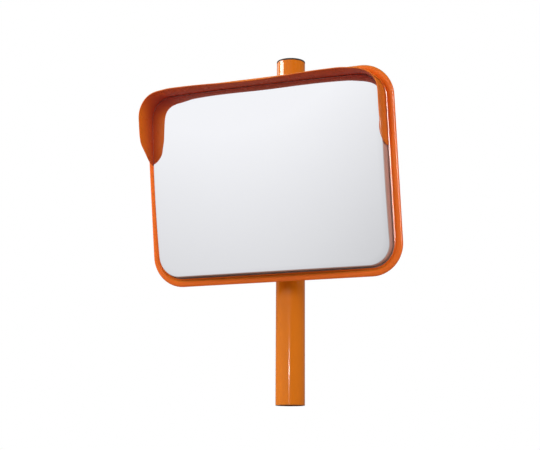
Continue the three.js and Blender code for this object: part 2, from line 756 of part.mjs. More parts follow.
// Slot about the pivot for the lock bolt, as wide as the bolt's hole and as long
// as the tilt range
function lockSlot() {
  const rest = 90 - LOCK_ANGLE + REST_TILT;
  const from = (rest - TILT_BACK) * DEG;
  const to = (rest + TILT_DOWN) * DEG;
  const at = (angle) => [LOCK_RADIUS * Math.cos(angle), LOCK_RADIUS * Math.sin(angle)];
  const slot = new THREE.Path();
  slot.absarc(0, 0, LOCK_RADIUS + M12_HOLE, from, to, false);
  slot.absarc(...at(to), M12_HOLE, to, to + Math.PI, false);
  slot.absarc(0, 0, LOCK_RADIUS - M12_HOLE, to, from, true);
  slot.absarc(...at(from), M12_HOLE, from + Math.PI, from + 2 * Math.PI, false);
  return slot;
}

// Yoke plate in (y, z) from the pivot: clamp at the back, nose round the pivot
function yokeShape() {
  const weld = -PIVOT_Y - CLAMP_OUT_R * Math.cos(Math.asin(YOKE_X / CLAMP_OUT_R)) + 1.5;
  const shape = new THREE.Shape();
  shape.moveTo(weld, YOKE_TOP);
  shape.lineTo(8, YOKE_TOP);
  shape.lineTo(-3, YOKE_TOP - 14);
  shape.absarc(0, 0, EAR_NOSE, 120 * DEG, 240 * DEG, false);
  shape.lineTo(weld - 20, -YOKE_TOP);
  shape.lineTo(weld, -YOKE_TOP);
  shape.closePath();
  addHole(shape, 0, 0, M12_HOLE);
  shape.holes.push(lockSlot());
  return shape;
}

function clampFront() {
  const plates = [-YOKE_X, YOKE_X - PLATE_T].map((x) =>
    plateAcross(yokeShape(), x, x + PLATE_T).translate(0, PIVOT_Y, 0));
  return join(clampHalf(), ...plates);
}

function clampLiner() {
  const half = LINER_H / 2;
  const tube = revolved([
    [LINER_IN_R, -half],
    [LINER_OUT_R, -half],
    [LINER_OUT_R, half],
    [LINER_IN_R, half],
  ]);
  const split = new THREE.BoxGeometry(LINER_OUT_R, LINER_SPLIT, LINER_H + 2);
  return cut(tube, split.translate(-LINER_OUT_R, 0, 0));
}

// ----------------------------------------------------------------- the post

function postTube() {
  const top = POST_TOP - CAP_PLATE;
  return revolved([
    [POST_R - POST_WALL, 0],
    [POST_R, 0],
    [POST_R, top],
    [POST_R - POST_WALL, top],
  ]);
}

// Push-in cap: plate over the tube's end with rounded edge, hollow plug below
function postCap() {
  const under = POST_TOP - CAP_PLATE + SEAT;
  const edge = POST_R + CAP_OVERHANG;
  const plug = POST_R - POST_WALL - FIT;
  return revolved([
    [0, POST_TOP],
    [0, under - CAP_RECESS],
    [plug - CAP_WALL, under - CAP_RECESS],
    [plug - CAP_WALL, under - CAP_PLUG],
    [plug, under - CAP_PLUG],
    [plug, under],
    [edge, under],
    [edge, POST_TOP - CAP_EDGE],
    [edge - CAP_EDGE, POST_TOP],
  ]);
}

// ------------------------------------------------------------------ fasteners

// Bolts are built along +X from the bearing face under the head at x = 0
function hexPrism(flats, thickness) {
  return new THREE.CylinderGeometry(flats / Math.sqrt(3), flats / Math.sqrt(3), thickness, 6)
    .rotateZ(90 * DEG);
}

function hexBolt(size, length) {
  const head = hexPrism(size.flats, size.head).translate(-size.head / 2, 0, 0);
  return join(head, rodAlongX(size.r, 0, 0, -1, length));
}

function carriageBolt(size, length) {
  const dome = revolved([
    [0, 0],
    [2 * size.r, 0],
    [2 * size.r, 1],
    [1.2 * size.r, size.head],
    [0, size.head],
  ], SMALL_ROUND).rotateY(-90 * DEG);
  return join(dome, rodAlongX(size.r, 0, 0, -1, length));
}

function hexNut(size) {
  const body = hexPrism(size.flats, size.nut).translate(size.nut / 2, 0, 0);
  return cut(body, rodAlongX(size.r + SEAT, 0, 0, -1, size.nut + 1));
}

function washer(size) {
  const disc = rodAlongX(size.washerR, 0, 0, 0, size.washer);
  return cut(disc, rodAlongX(size.r + FIT, 0, 0, -1, size.washer + 1));
}

function panScrew() {
  const head = revolved([
    [0, 0],
    [SCREW_HEAD_R, 0],
    [SCREW_HEAD_R, 1],
    [0.75 * SCREW_HEAD_R, SCREW_HEAD_T],
    [0, SCREW_HEAD_T],
  ], SCREW_ROUND).rotateY(-90 * DEG);
  const cross = [
    new THREE.BoxGeometry(2, 0.9, 3.6),
    new THREE.BoxGeometry(2, 3.6, 0.9),
  ].map((slot) => slot.translate(-SCREW_HEAD_T, 0, 0));
  return cut(join(head, rodAlongX(SCREW_R, 0, 0, -1, SCREW_LENGTH, SCREW_ROUND)), ...cross);
}

// ------------------------------------------------------------------- assembly

const group = new THREE.Group();
group.name = "traffic_convex_mirror";

const clamp = new THREE.Group();
clamp.name = "clamp";
clamp.position.set(0, 0, PIVOT_Z);

const head = new THREE.Group();
head.name = "head";
head.position.set(0, PIVOT_Y, 0);
head.rotation.x = REST_TILT * DEG;

group.add(clamp);
clamp.add(head);

function addPiece(parent, name, geometry, material, x = 0, y = 0, z = 0) {
  const mesh = new THREE.Mesh(geometry, material);
  mesh.name = name;
  mesh.position.set(x, y, z);
  parent.add(mesh);
  return mesh;
}

// Fasteners lie along +X as built; turn points them along +Y or -Y
function addFastener(parent, name, geometry, place, turn = 0) {
  const mesh = addPiece(parent, name, geometry, zinc, ...place);
  mesh.rotation.z = turn * DEG;
  return mesh;
}

function addPost() {
  addPiece(group, "post_tube", postTube(), postOrange);
  addPiece(group, "post_cap", postCap(), capBrown);
}

function addClamp() {
  addPiece(clamp, "clamp_liner", clampLiner(), linerBlack);
  addPiece(clamp, "clamp_front", clampFront(), bracketOrange);
  addPiece(clamp, "clamp_rear", clampHalf(), bracketOrange).rotation.z = Math.PI;
  const face = CLAMP_GAP + CLAMP_T;
  const under = face + 2 * SEAT + M10.washer;
  const length = under + face + SEAT + M10.nut + THREAD_OUT;
  clampPlaces().forEach(([x, z], i) => {
    const number = i + 1;
    addFastener(clamp, `clamp_bolt_${number}`, hexBolt(M10, length), [x, -under, z], 90);
    addFastener(clamp, `clamp_washer_${number}`, washer(M10), [x, SEAT - under, z], 90);
    addFastener(clamp, `clamp_nut_${number}`, hexNut(M10), [x, face + SEAT, z], 90);
  });
}

// Bolt along X through the bracket's ears: head and washer at -X, nut at +X
function addCrossBolt(name, y, z) {
  const under = EAR_OUT + 2 * SEAT + M12.washer;
  const length = 2 * under + SEAT + M12.nut + THREAD_OUT;
  addFastener(head, `${name}_bolt`, hexBolt(M12, length), [-under, y, z]);
  addFastener(head, `${name}_washer_1`, washer(M12), [SEAT - under, y, z]);
  addFastener(head, `${name}_washer_2`, washer(M12), [EAR_OUT + SEAT, y, z]);
  addFastener(head, `${name}_nut`, hexNut(M12), [under + SEAT, y, z]);
}

function addBracket() {
  addPiece(head, "tilt_bracket", tiltBracket(), bracketOrange);
  addPiece(head, "backing_plate", backingPlate(), zinc, 0, -FRONT_TO_PIVOT, 0);
  addCrossBolt("pivot", 0, 0);
  addCrossBolt("lock", LOCK_Y, LOCK_Z);
  const under = SHELL_DEPTH - SHELL_T - 2 * SEAT - BACKING_T - FRONT_TO_PIVOT;
  const length = BASE_BACK - under + SEAT + M8.nut + THREAD_OUT;
  basePlaces().forEach(([x, z], i) => {
    const number = i + 1;
    addFastener(head, `base_bolt_${number}`, carriageBolt(M8, length), [x, under, z], 90);
    addFastener(head, `base_nut_${number}`, hexNut(M8), [x, BASE_BACK + SEAT, z], 90);
  });
}

function addMirror() {
  const y = -FRONT_TO_PIVOT;
  addPiece(head, "mirror_panel", mirrorPanel(), mirrorSilver, 0, y, 0);
  addPiece(head, "gasket", gasketRing(hoodFootTool()), rubberBlack, 0, y, 0);
  addPiece(head, "rim_frame", rimFrame(), headOrange, 0, y, 0);
  addPiece(head, "hood", hoodShell(), hoodOrange, 0, y, 0);
  addPiece(head, "back_shell", backShell(), shellOrange, 0, y, 0);
  screwPlaces().forEach(([x, z], i) => {
    const place = [x, y + SEAT_BACK + SEAT, z];
    addFastener(head, `frame_screw_${i + 1}`, panScrew(), place, -90);
  });
}

addPost();
addClamp();
addBracket();
addMirror();

export default group;
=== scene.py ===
"""Surfaces, finishes and stage for a convex road mirror on its post.

All lengths are metres. The mirror's head is built in its own frame: x to the
right, z up and y back from the rim's front plane, with the origin at the middle
of the face. head_place() takes that frame to its place on the post.
"""

import json
import math

import bmesh
import bpy
from bpy.props import FloatProperty, FloatVectorProperty, IntProperty, PointerProperty
from bpy.types import Operator, Panel, PropertyGroup
from mathutils import Matrix, Vector


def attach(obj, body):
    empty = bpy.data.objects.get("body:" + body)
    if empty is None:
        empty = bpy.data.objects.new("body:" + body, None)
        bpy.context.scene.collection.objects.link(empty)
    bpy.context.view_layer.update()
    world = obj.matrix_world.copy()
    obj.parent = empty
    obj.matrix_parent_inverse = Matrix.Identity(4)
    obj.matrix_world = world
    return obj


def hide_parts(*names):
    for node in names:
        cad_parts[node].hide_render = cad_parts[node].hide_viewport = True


bl_info = {
    "name": "Road Mirror",
    "version": (1, 0, 0),
    "blender": (4, 5, 0),
    "location": "View3D > Sidebar > Road Mirror",
    "description": "Builds the surfaces, finishes and stage of a convex road mirror",
    "category": "Object",
}

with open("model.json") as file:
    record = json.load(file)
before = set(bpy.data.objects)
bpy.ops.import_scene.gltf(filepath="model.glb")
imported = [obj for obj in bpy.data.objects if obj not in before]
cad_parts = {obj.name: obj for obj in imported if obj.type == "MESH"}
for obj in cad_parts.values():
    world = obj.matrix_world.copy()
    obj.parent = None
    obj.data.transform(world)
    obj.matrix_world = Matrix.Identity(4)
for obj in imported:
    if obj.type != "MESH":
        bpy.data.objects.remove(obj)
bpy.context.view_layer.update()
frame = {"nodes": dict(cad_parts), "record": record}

ROUND_Y = Vector((0, -1, 0))  # turning about it takes +X to +Z
UP = Vector((0, 0, 1))
QUARTER = math.pi / 2

# Angles in degrees
SHARP = 35  # edges sharper than this are shown sharp
BROKEN = 38  # edges sharper than this are rounded
FLAT = 0.4  # a plain solid's triangles within this are one flat face

# Tolerances
MERGE = 1e-6  # points nearer than this are one
SOLID_MERGE = 2e-6  # the same in a copy of a plain solid
SLIVER = 5e-6  # edges shorter than this are taken out after a bevel
SLACK = 1e-4  # for telling edges apart by their place

# Radii of the broken edges
RIM_EDGE = 0.0004
HOOD_EDGE = 0.0005
PAN_EDGE = 0.0006
POST_EDGE = 0.0005
LINER_EDGE = 0.0004
BRACKET_EDGE = 0.0007
FASTENER_EDGE = 0.0003

EDGE_STEPS = 8  # steps round the panel's edge and the hood's
BROKEN_STEPS = 2  # steps round a broken edge


# ------------------------------------------------------------------ properties


def length(name, description, default):
    """A size in metres."""
    return FloatProperty(
        name=name, description=description, default=default, unit="LENGTH", precision=4
    )


def colour(name, description, default):
    """A linear colour."""
    return FloatVectorProperty(
        name=name, description=description, default=default, size=3, min=0, max=1, subtype="COLOR"
    )


def power(name, description, default):
    """A lamp's power in watts."""
    return FloatProperty(name=name, description=description, default=default, unit="POWER")


def factor(name, description, default):
    """A share from 0 to 1."""
    return FloatProperty(
        name=name, description=description, default=default, min=0, max=1, subtype="FACTOR"
    )


class RoadMirrorHead(PropertyGroup):
    """Sizes of the mirror's head."""

    face_w: length("Face width", "Width of the silvered face", 0.632)
    face_h: length("Face height", "Height of the silvered face", 0.474)
    corner: length("Face corner", "Corner radius of the silvered face", 0.056)
    sphere: length("Curvature", "Radius of the spherical face", 2.18)
    apex: length("Apex", "How far the middle of the face stands before the rim", 0.048)
    panel_t: length("Panel thickness", "Thickness of the silvered sheet", 0.003)
    panel_edge: length("Panel edge", "Radius at the edge of the face", 0.0025)
    skirt: length("Skirt draft", "How far the panel's skirt leans out", 0.0016)
    flange_out: length("Flange", "Offset of the flange's edge", 0.0105)
    flange_front: length("Flange depth", "Depth of the flange's front", 0.0128)
    rim_in: length("Rim inside", "Offset of the rim's inner lip", 0.0047)
    rim_out: length("Rim outside", "Offset of the bead's outer side", 0.0263)
    rim_back: length("Rim back", "Offset of the side wall at its back edge", 0.0218)
    rim_depth: length("Rim depth", "Depth of the rim's back edge", 0.0215)
    rim_wall: length("Rim wall", "Wall of the rolled section", 0.003)
    lip_depth: length("Lip depth", "How far back the inner lip reaches", 0.009)
    lip_front: length("Lip crest", "Depth of the crest of the lip beside the hood", 0.0024)
    lip_lean: length("Lip lean", "How far the crest leans away from the hood", 0.0006)
    groove: length("Groove", "Depth of the groove between lip and bead", 0.0052)
    groove_in: length("Groove place", "Offset of the groove's bottom", 0.0092)
    bead_in: length("Bead inside", "Offset at which the bead starts", 0.0088)
    bead_top: length("Bead height", "Depth at which the bead is widest", 0.0065)
    hood_wall: length("Hood wall", "Wall of the hood", 0.0025)
    hood_gap: length("Hood gap", "Gap between the hood and the rim's lip", 0.0003)
    foot_front: length("Foot front", "Depth of the hood foot's front", 0.0091)
    foot_back: length("Foot back", "Depth of the hood foot's back", 0.0111)
    foot_out: length("Foot width", "Offset of the hood foot's edge", 0.014)
    reach: length("Hood reach", "Reach of the hood's top before the rim", 0.085)
    cheek_reach: length("Cheek reach", "Reach of the cheeks before the rim", 0.076)
    lean: length("Hood lean", "How far the front edge stands up beyond its foot", 0.0075)
    cheek_lean: length("Cheek lean", "How far the cheeks' edges stand out", 0.006)
    sag: length("Hood sag", "How far the front edge falls at the middle", 0.0049)
    sag_half: length("Sag half width", "Half the width of the sag", 0.19)
    draw: length("Corner draw", "How far the front edge is drawn in at its corners", 0.0042)
    draw_at: length("Draw place", "How far in from the sides the draw is deepest", 0.041)
    draw_half: length("Draw half width", "Half the width of the draw", 0.05)
    corner_cut: length("Corner cut", "How much less the hood reaches at its corners", 0.007)
    corner_out: length("Corner flare", "How much more the hood leans out at its corners", 0.0027)
    bow: length("Hood bow", "How far the wall bows in between foot and front edge", 0.0018)
    hood_end: length("Cheek end", "Height at which the cheeks end", 0.057)
    runout: length("Run-out", "Height of the quarter ellipse that ends a cheek", 0.09)
    curl: length("Curl", "How far the lower ends of the cheeks curl in", 0.0045)
    curl_length: length("Curl height", "Height of the curled stretch", 0.057)
    pan_t: length("Pan thickness", "Sheet of the back pan", 0.0025)
    pan_edge: length("Pan edge", "Offset of the back pan's edge", 0.0178)
    pan_seat: length("Pan seat", "Offset at which the pan's seat ends", 0.002)
    pan_seat_depth: length("Pan seat depth", "Depth of the seat's back", 0.0206)
    pan_depth: length("Pan depth", "Depth of the pan's flat back", 0.042)
    pan_flat_in: length("Pan slope", "How far inside the edge the slope ends", 0.088)
    bead: length("Pan bead", "Depth of the bead round the flat", 0.0025)
    bead_w: length("Pan bead width", "Width of the bead round the flat", 0.008)
    rib_w: length("Rib width", "Width of the pressed ribs", 0.009)
    rib_h: length("Rib height", "Height of the pressed ribs", 0.0035)
    rib_length: length("Rib length", "Length of the pressed ribs", 0.19)
    drain: length("Drain radius", "Radius of the drain holes", 0.004)
    pivot_y: length("Pivot y", "The tilt pivot, before the post's axis", -0.083)
    pivot_z: length("Pivot height", "The tilt pivot above the post's foot", 0.577)
    to_pivot: length("Front to pivot", "From the rim's front to the pivot", 0.07)
    tilt: FloatProperty(
        name="Tilt",
        description="How far the mirror is tipped towards the road",
        default=math.radians(9),
        subtype="ANGLE",
    )
    corner_steps: IntProperty(
        name="Corner steps", description="Steps round each corner", default=16, min=4
    )


class RoadMirrorPost(PropertyGroup):
    """Sizes of the post and its cap."""

    radius: length("Post radius", "Outer radius of the post", 0.03815)
    wall: length("Post wall", "Wall of the post's tube", 0.0032)
    top: length("Height", "Top of the cap above the post's foot", 0.926)
    plate: length("Cap plate", "Thickness of the cap's plate", 0.0045)
    plug: length("Cap plug", "How far the cap's plug reaches in", 0.02)
    overhang: length("Cap overhang", "How far the cap stands over the tube", 0.00035)
    edge: length("Cap edge", "Radius round the cap's top", 0.0012)
    steps: IntProperty(name="Round steps", description="Steps round the post", default=96, min=24)


class RoadMirrorFinish(PropertyGroup):
    """Colours and gloss of the finishes."""

    rim: colour("Rim", "Moulded rim", (0.84, 0.152, 0.015))
    hood: colour("Hood", "Moulded hood", (0.74, 0.172, 0.022))
    # Painted light: the inside's colour at the hood's front edge, lighter than the hood's own
    hood_lit_front: colour("Hood front", "Sun-faded front of the inside", (0.95, 0.186, 0.017))
    # Painted shade: the inside's deep red beside the face and under the hood's top
    hood_shaded_root: colour("Hood root", "Unfaded inside, beside the face", (0.76, 0.05, 0.028))
    faded_and_lit: colour("Faded top", "Rim and hood where they face up", (0.64, 0.195, 0.015))
    pan: colour("Back pan", "Back pan", (0.78, 0.118, 0.008))
    post: colour("Post", "Painted post", (0.74, 0.184, 0.006))
    bracket: colour("Bracket", "Painted bracket and clamp", (0.76, 0.15, 0.009))
    cap: colour("Cap", "Moulded cap", (0.034, 0.02, 0.013))
    rubber: colour("Rubber", "Liner", (0.016, 0.014, 0.013))
    # Partly painted light: pale so that the seal in its shaded groove reads lighter
    seal: colour("Seal", "Gasket", (0.65, 0.47, 0.4))
    # Painted reflection: the brown that the silvered skirt shows of the orange rim
    skirt: colour("Skirt", "Skirt of the panel", (0.58, 0.38, 0.32))
    silver: colour("Silvering", "Silvered face", (0.905, 0.912, 0.945))
    zinc: colour("Zinc", "Plated fasteners", (0.56, 0.57, 0.57))


class RoadMirrorStage(PropertyGroup):
    """Camera, lamps and floor."""

    lens: FloatProperty(name="Lens", description="Focal length", default=81.495, unit="CAMERA")
    sky: colour("Sky tint", "Colour of the wide lamp high at the left", (0.92, 0.98, 1.0))
    key: power("Key lamp", "Wide lamp high at the left", 100)
    fill: power("Fill lamp", "Wide lamp at the right", 40)
    front: power("Front lamp", "Lamp low in front", 46)
    top: power("Top lamp", "Lamp overhead", 6)
    back: power("Back lamp", "Lamp behind the object", 24)
    streak: power("Post streak", "Seen only in the post's gloss, from above", 170)
    sheen: power("Post sheen", "Seen only in the post's gloss, at its left edge", 9)
    glint: power("Post glint", "Seen only in the post's gloss, low in front", 9)
    rim: power("Rim streak", "Seen only in the rim's gloss, at the right", 175)
    cheek: power("Cheek sheen", "Seen only in the hood's gloss, from behind", 90)
    ambient: factor("Ambient", "Level of the light from all round", 0.18)
    floor_radius: length("Floor radius", "Radius of the pale floor", 3.2)
    floor_clear: length("Clear middle", "Radius under the post where the floor is clear", 0.041)


def sizes():
    """The head's sizes in the open scene."""
    return bpy.context.scene.road_mirror_head


def finishes():
    """The finishes' colours in the open scene."""
    return bpy.context.scene.road_mirror_finish


# --------------------------------------------------------------- bmesh helpers


def angles(last, steps):
    """Evenly spaced angles from 0 to a last one."""
    return [last * i / steps for i in range(steps + 1)]


def wire(bm, points, closed=True):
    """Joins a few points into a section and returns its vertices and edges."""
    verts = [bm.verts.new(point) for point in points]
    pairs = list(zip(verts, verts[1:]))
    if closed:
        pairs.append((verts[-1], verts[0]))
    return verts + [bm.edges.new(pair) for pair in pairs]


def carry(bm, section, centres, runs):
    """Carries a section straight from centre to centre, and round each one in between.

    Each run is the number of steps of a straight stretch; a stretch of 0 is left out.
    """
    for i, steps in enumerate(runs):
        (from_x, from_z), (x, z) = centres[i : i + 2]
        if steps:
            way = Vector((x - from_x, 0, z - from_z)) / steps
            section = bmesh.ops.spin(
                bm, geom=section, cent=(0, 0, 0), axis=UP, dvec=way, angle=0, steps=steps
            )["geom_last"]
        if i + 1 < len(runs):
            round_steps = sizes().corner_steps
            section = bmesh.ops.spin(
                bm, geom=section, cent=(x, 0, z), axis=ROUND_Y, angle=QUARTER, steps=round_steps
            )["geom_last"]


def verts_of(geom):
    """The vertices in a list of bmesh geometry."""
    return [part for part in geom if isinstance(part, bmesh.types.BMVert)]


def close_up(bm):
    """Merges doubles and turns the faces outwards."""
    bmesh.ops.remove_doubles(bm, verts=bm.verts, dist=MERGE)
    bmesh.ops.recalc_face_normals(bm, faces=bm.faces)


def lathe(bm, profile, steps):
    """Turns an (r, z) profile about the z axis; it may start and end on the axis."""
    section = wire(bm, [(r, 0, z) for r, z in profile], closed=profile[0][0] > 0)
    bmesh.ops.spin(
        bm, geom=section, cent=(0, 0, 0), axis=UP, angle=math.tau, steps=steps, use_merge=True
    )
    close_up(bm)


def bevel(bm, edges, width, segments, clamp_overlap=False):
    """Rounds edges of a bmesh."""
    bmesh.ops.bevel(
        bm,
        geom=edges,
        offset=width,
        segments=segments,
        profile=0.5,
        affect="EDGES",
        material=-1,
        clamp_overlap=clamp_overlap,
    )


def corner_centre():
    """How far the centres of the face's corners lie from its middle, in x and z."""
    s = sizes()
    return s.face_w / 2 - s.corner, s.face_h / 2 - s.corner


def round_the_frame(bm, section, long_steps=1, short_steps=2):
    """Carries a section, drawn at the middle of the right side, round the frame."""
    cx, cz = corner_centre()
    centres = [(cx, 0), (cx, cz), (-cx, cz), (-cx, -cz), (cx, -cz), (cx, 0)]
    half = short_steps // 2
    carry(bm, section, centres, [half, long_steps, short_steps, long_steps, half])
    close_up(bm)


def at_side(points):
    """(offset, depth) pairs as points at the middle of the head's right side."""
    half = sizes().face_w / 2
    return [(half + offset, depth, 0) for offset, depth in points]


def head_place():
    """The matrix that takes the head's frame to its place on the post."""
    s = sizes()
    return (
        Matrix.Translation((0, s.pivot_y, s.pivot_z))
        @ Matrix.Rotation(s.tilt, 4, "X")
        @ Matrix.Translation((0, -s.to_pivot, 0))
    )


def add_object(bm, name, material, sharp=SHARP):
    """Makes an object of a bmesh, smooth but for edges sharper than an angle."""
    mesh = bpy.data.meshes.new(name)
    bm.to_mesh(mesh)
    bm.free()
    mesh.materials.append(material)
    mesh.shade_smooth()
    mesh.set_sharp_from_angle(angle=math.radians(sharp))
    piece = bpy.data.objects.new(name, mesh)
    bpy.context.scene.collection.objects.link(piece)
    return piece


def add_to_head(bm, name, material, sharp=SHARP):
    """Makes an object of a bmesh that was drawn in the head's own frame."""
    bmesh.ops.transform(bm, matrix=head_place(), verts=bm.verts)
    return add_object(bm, name, material, sharp)


def soften(piece, width):
    """Rounds the piece's sharp edges."""
    rounding = piece.modifiers.new("soft_edges", "BEVEL")
    rounding.width = width
    rounding.segments = BROKEN_STEPS
    rounding.limit_method = "ANGLE"
    rounding.angle_limit = math.radians(BROKEN)


def stand_for(piece, body, slot, *nodes):
    """Puts a piece on its body, in place of the plain solids that it stands for."""
    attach(piece, body)
    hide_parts(*nodes)


def dress_solid(node, name, body, slot, material, width, sharp=SHARP):
    """Makes a piece in the shape of a plain solid, with its sharp edges rounded."""
    bm = bmesh.new()
    bm.from_mesh(frame["nodes"][node].data)
    bmesh.ops.remove_doubles(bm, verts=bm.verts, dist=SOLID_MERGE)
    flat, broken = math.radians(FLAT), math.radians(BROKEN)
    bmesh.ops.dissolve_limit(bm, angle_limit=flat, verts=bm.verts, edges=bm.edges)
    hard = [e for e in bm.edges if e.is_manifold and e.calc_face_angle(0) > broken]
    bevel(bm, hard, width, BROKEN_STEPS, clamp_overlap=True)
    bmesh.ops.dissolve_degenerate(bm, dist=SLIVER, edges=bm.edges)
    stand_for(add_object(bm, name, material, sharp), body, slot, node)


def boolean(piece, tool, operation):
    """Joins or cuts a piece with a tool, keeps the result and removes the tool."""
    change = piece.modifiers.new("change", "BOOLEAN")
    change.operation = operation
    change.solver = "EXACT"
    change.object = tool
    graph = bpy.context.evaluated_depsgraph_get()
    made = bpy.data.meshes.new_from_object(piece.evaluated_get(graph))
    piece.modifiers.remove(change)
    piece.data = made
    bpy.data.objects.remove(tool)
    made.shade_smooth()
    made.set_sharp_from_angle(angle=math.radians(SHARP))


# ------------------------------------------------------------------- materials


def feed(tree, socket, value):
    """Sets a socket to a value, or links another node's output to it."""
    if isinstance(value, bpy.types.NodeSocket):
        tree.links.new(value, socket)
    else:
        socket.default_value = value


def put(tree, kind, **values):
    """Adds a shader node; values feed its inputs by name, or are its own settings."""
    node = tree.nodes.new(f"ShaderNode{kind}")
    for key, value in values.items():
        name = key.replace("_", " ").title()
        if name in node.inputs:
            feed(tree, node.inputs[name], value)
        else:
            setattr(node, key, value)
    return node


def fill(tree, node, values):
    """Feeds a node's inputs, given by name or by number, and returns the node."""
    for place, value in values.items():
        feed(tree, node.inputs[place], value)
    return node


def arithmetic(tree, operation, first, second):
    """A Math node; each value is a number or another node's output."""
    node = put(tree, "Math", operation=operation)
    return fill(tree, node, {0: first, 1: second}).outputs[0]


def blend_colours(tree, share, first, second):
    """A Mix node for colours; each colour is a value or another node's output."""
    node = put(tree, "Mix", data_type="RGBA")
    return fill(tree, node, {0: share, 6: first, 7: second}).outputs[2]


def blend_shaders(tree, share, first, second):
    """A Mix Shader node; both shaders are other nodes' outputs."""
    node = put(tree, "MixShader")
    return fill(tree, node, {0: share, 1: first, 2: second}).outputs[0]


def remap(tree, value, low, high, to_low=0.0, to_high=1.0, curve="LINEAR"):
    """A Map Range node that takes one pair of levels to another."""
    node = put(tree, "MapRange", interpolation_type=curve, value=value)
    levels = {"From Min": low, "From Max": high, "To Min": to_low, "To Max": to_high}
    return fill(tree, node, levels).outputs[0]


def place_in(tree):
    """The point's place in the object's own coordinates."""
    return put(tree, "TexCoord").outputs["Object"]


def noise(tree, vector, scale, detail, roughness=0.5):
    """A Noise Texture's value."""
    values = {"vector": vector, "scale": scale, "detail": detail, "roughness": roughness}
    return put(tree, "TexNoise", **values).outputs["Fac"]


def dot(tree, vector, way):
    """How far a vector reaches along a way."""
    node = put(tree, "VectorMath", operation="DOT_PRODUCT")
    return fill(tree, node, {0: vector, 1: way}).outputs["Value"]


def opaque(rgb, level=1.0):
    """A colour, made darker or lighter, with its alpha."""
    return (*[c * level for c in rgb], 1)


def new_group(name, inputs, outputs):
    """A shader node group: its tree, its inputs with their defaults, and its outputs."""
    tree = bpy.data.node_groups.new(name, "ShaderNodeTree")
    for socket, default in inputs.items():
        kind = "NodeSocketFloat" if isinstance(default, float) else "NodeSocketColor"
        made = tree.interface.new_socket(socket, in_out="INPUT", socket_type=kind)
        made.default_value = default
    for socket, kind in outputs.items():
        tree.interface.new_socket(socket, in_out="OUTPUT", socket_type=kind)
    given, out = tree.nodes.new("NodeGroupInput"), tree.nodes.new("NodeGroupOutput")
    return tree, given.outputs, out.inputs


def skin_texture_group():
    """Orange-peel height and a slow unevenness, for painted and moulded skins."""
    if "skin_texture" in bpy.data.node_groups:
        return bpy.data.node_groups["skin_texture"]
    tree, given, out = new_group(
        "skin_texture",
        {"Peel Scale": 420.0, "Wave Scale": 16.0, "Wave Share": 0.5},
        {"Height": "NodeSocketFloat", "Unevenness": "NodeSocketFloat"},
    )
    place = place_in(tree)
    peel = noise(tree, place, given["Peel Scale"], detail=2.0, roughness=0.4)
    wave = noise(tree, place, given["Wave Scale"], detail=3.0)
    slow = arithmetic(tree, "MULTIPLY", wave, given["Wave Share"])
    feed(tree, out["Height"], arithmetic(tree, "ADD", peel, slow))
    feed(tree, out["Unevenness"], wave)
    return tree


def facing_up_group():
    """How much a surface faces up: 1 from one level on, a least share below another."""
    if "facing_up" in bpy.data.node_groups:
        return bpy.data.node_groups["facing_up"]
    tree, given, out = new_group(
        "facing_up", {"Low": 0.35, "High": 1.0, "Least": 0.0}, {"Share": "NodeSocketFloat"}
    )
    normal = put(tree, "NewGeometry").outputs["Normal"]
    upward = put(tree, "SeparateXYZ", vector=normal).outputs["Z"]
    share = remap(tree, upward, given["Low"], given["High"], given["Least"])
    feed(tree, out["Share"], share)
    return tree


def facing_up(tree, low, high, least=0.0):
    """The facing_up group in a tree, with its values; returns its share."""
    group = facing_up_group()
    node = put(tree, "Group", node_tree=group, low=low, high=high, least=least)
    return node.outputs["Share"]


def weather_group():
    """Dust on what faces up, faint streaks down the sides and a tint to match."""
    if "weathering" in bpy.data.node_groups:
        return bpy.data.node_groups["weathering"]
    grey, dust = (0.5, 0.5, 0.5, 1), (0.42, 0.36, 0.3, 1)
    tree, given, out = new_group(
        "weathering",
        {"Clean": grey, "Dust": dust, "Amount": 0.2, "Depth Of Tone": 0.06},
        {"Colour": "NodeSocketColor", "Dusty": "NodeSocketFloat"},
    )
    streak_stretch, streak_share = (46, 46, 5), 0.22
    place = place_in(tree)
    stretched = put(tree, "Mapping", vector=place, scale=streak_stretch).outputs[0]
    streaks = noise(tree, stretched, scale=1.0, detail=4.0, roughness=0.6)
    patches = noise(tree, place, scale=9.0, detail=5.0, roughness=0.62)
    cling = arithmetic(tree, "MULTIPLY", facing_up(tree, low=0.35, high=1.0), patches)
    spread = arithmetic(tree, "MULTIPLY", streaks, streak_share)
    dusty = arithmetic(tree, "MULTIPLY", arithmetic(tree, "ADD", cling, spread), given["Amount"])
    shift = arithmetic(tree, "SUBTRACT", patches, 0.5)
    shade = arithmetic(tree, "MULTIPLY", shift, given["Depth Of Tone"])
    level = arithmetic(tree, "ADD", shade, 1.0)
    toned = put(tree, "HueSaturation", color=given["Clean"], value=level).outputs[0]
    feed(tree, out["Colour"], blend_colours(tree, dusty, toned, given["Dust"]))
    feed(tree, out["Dusty"], dusty)
    return tree


def start_material(name):
    """An empty material's tree, its shader and itself, or just itself if made already."""
    if name in bpy.data.materials:
        return None, None, bpy.data.materials[name]
    material = bpy.data.materials.new(name)
    material.use_nodes = True
    tree = material.node_tree
    return tree, tree.nodes["Principled BSDF"], material


def bumps(tree, height, strength, distance):
    """A Bump node's normal."""
    node = put(tree, "Bump", height=height, strength=strength, distance=distance)
    return node.outputs[0]


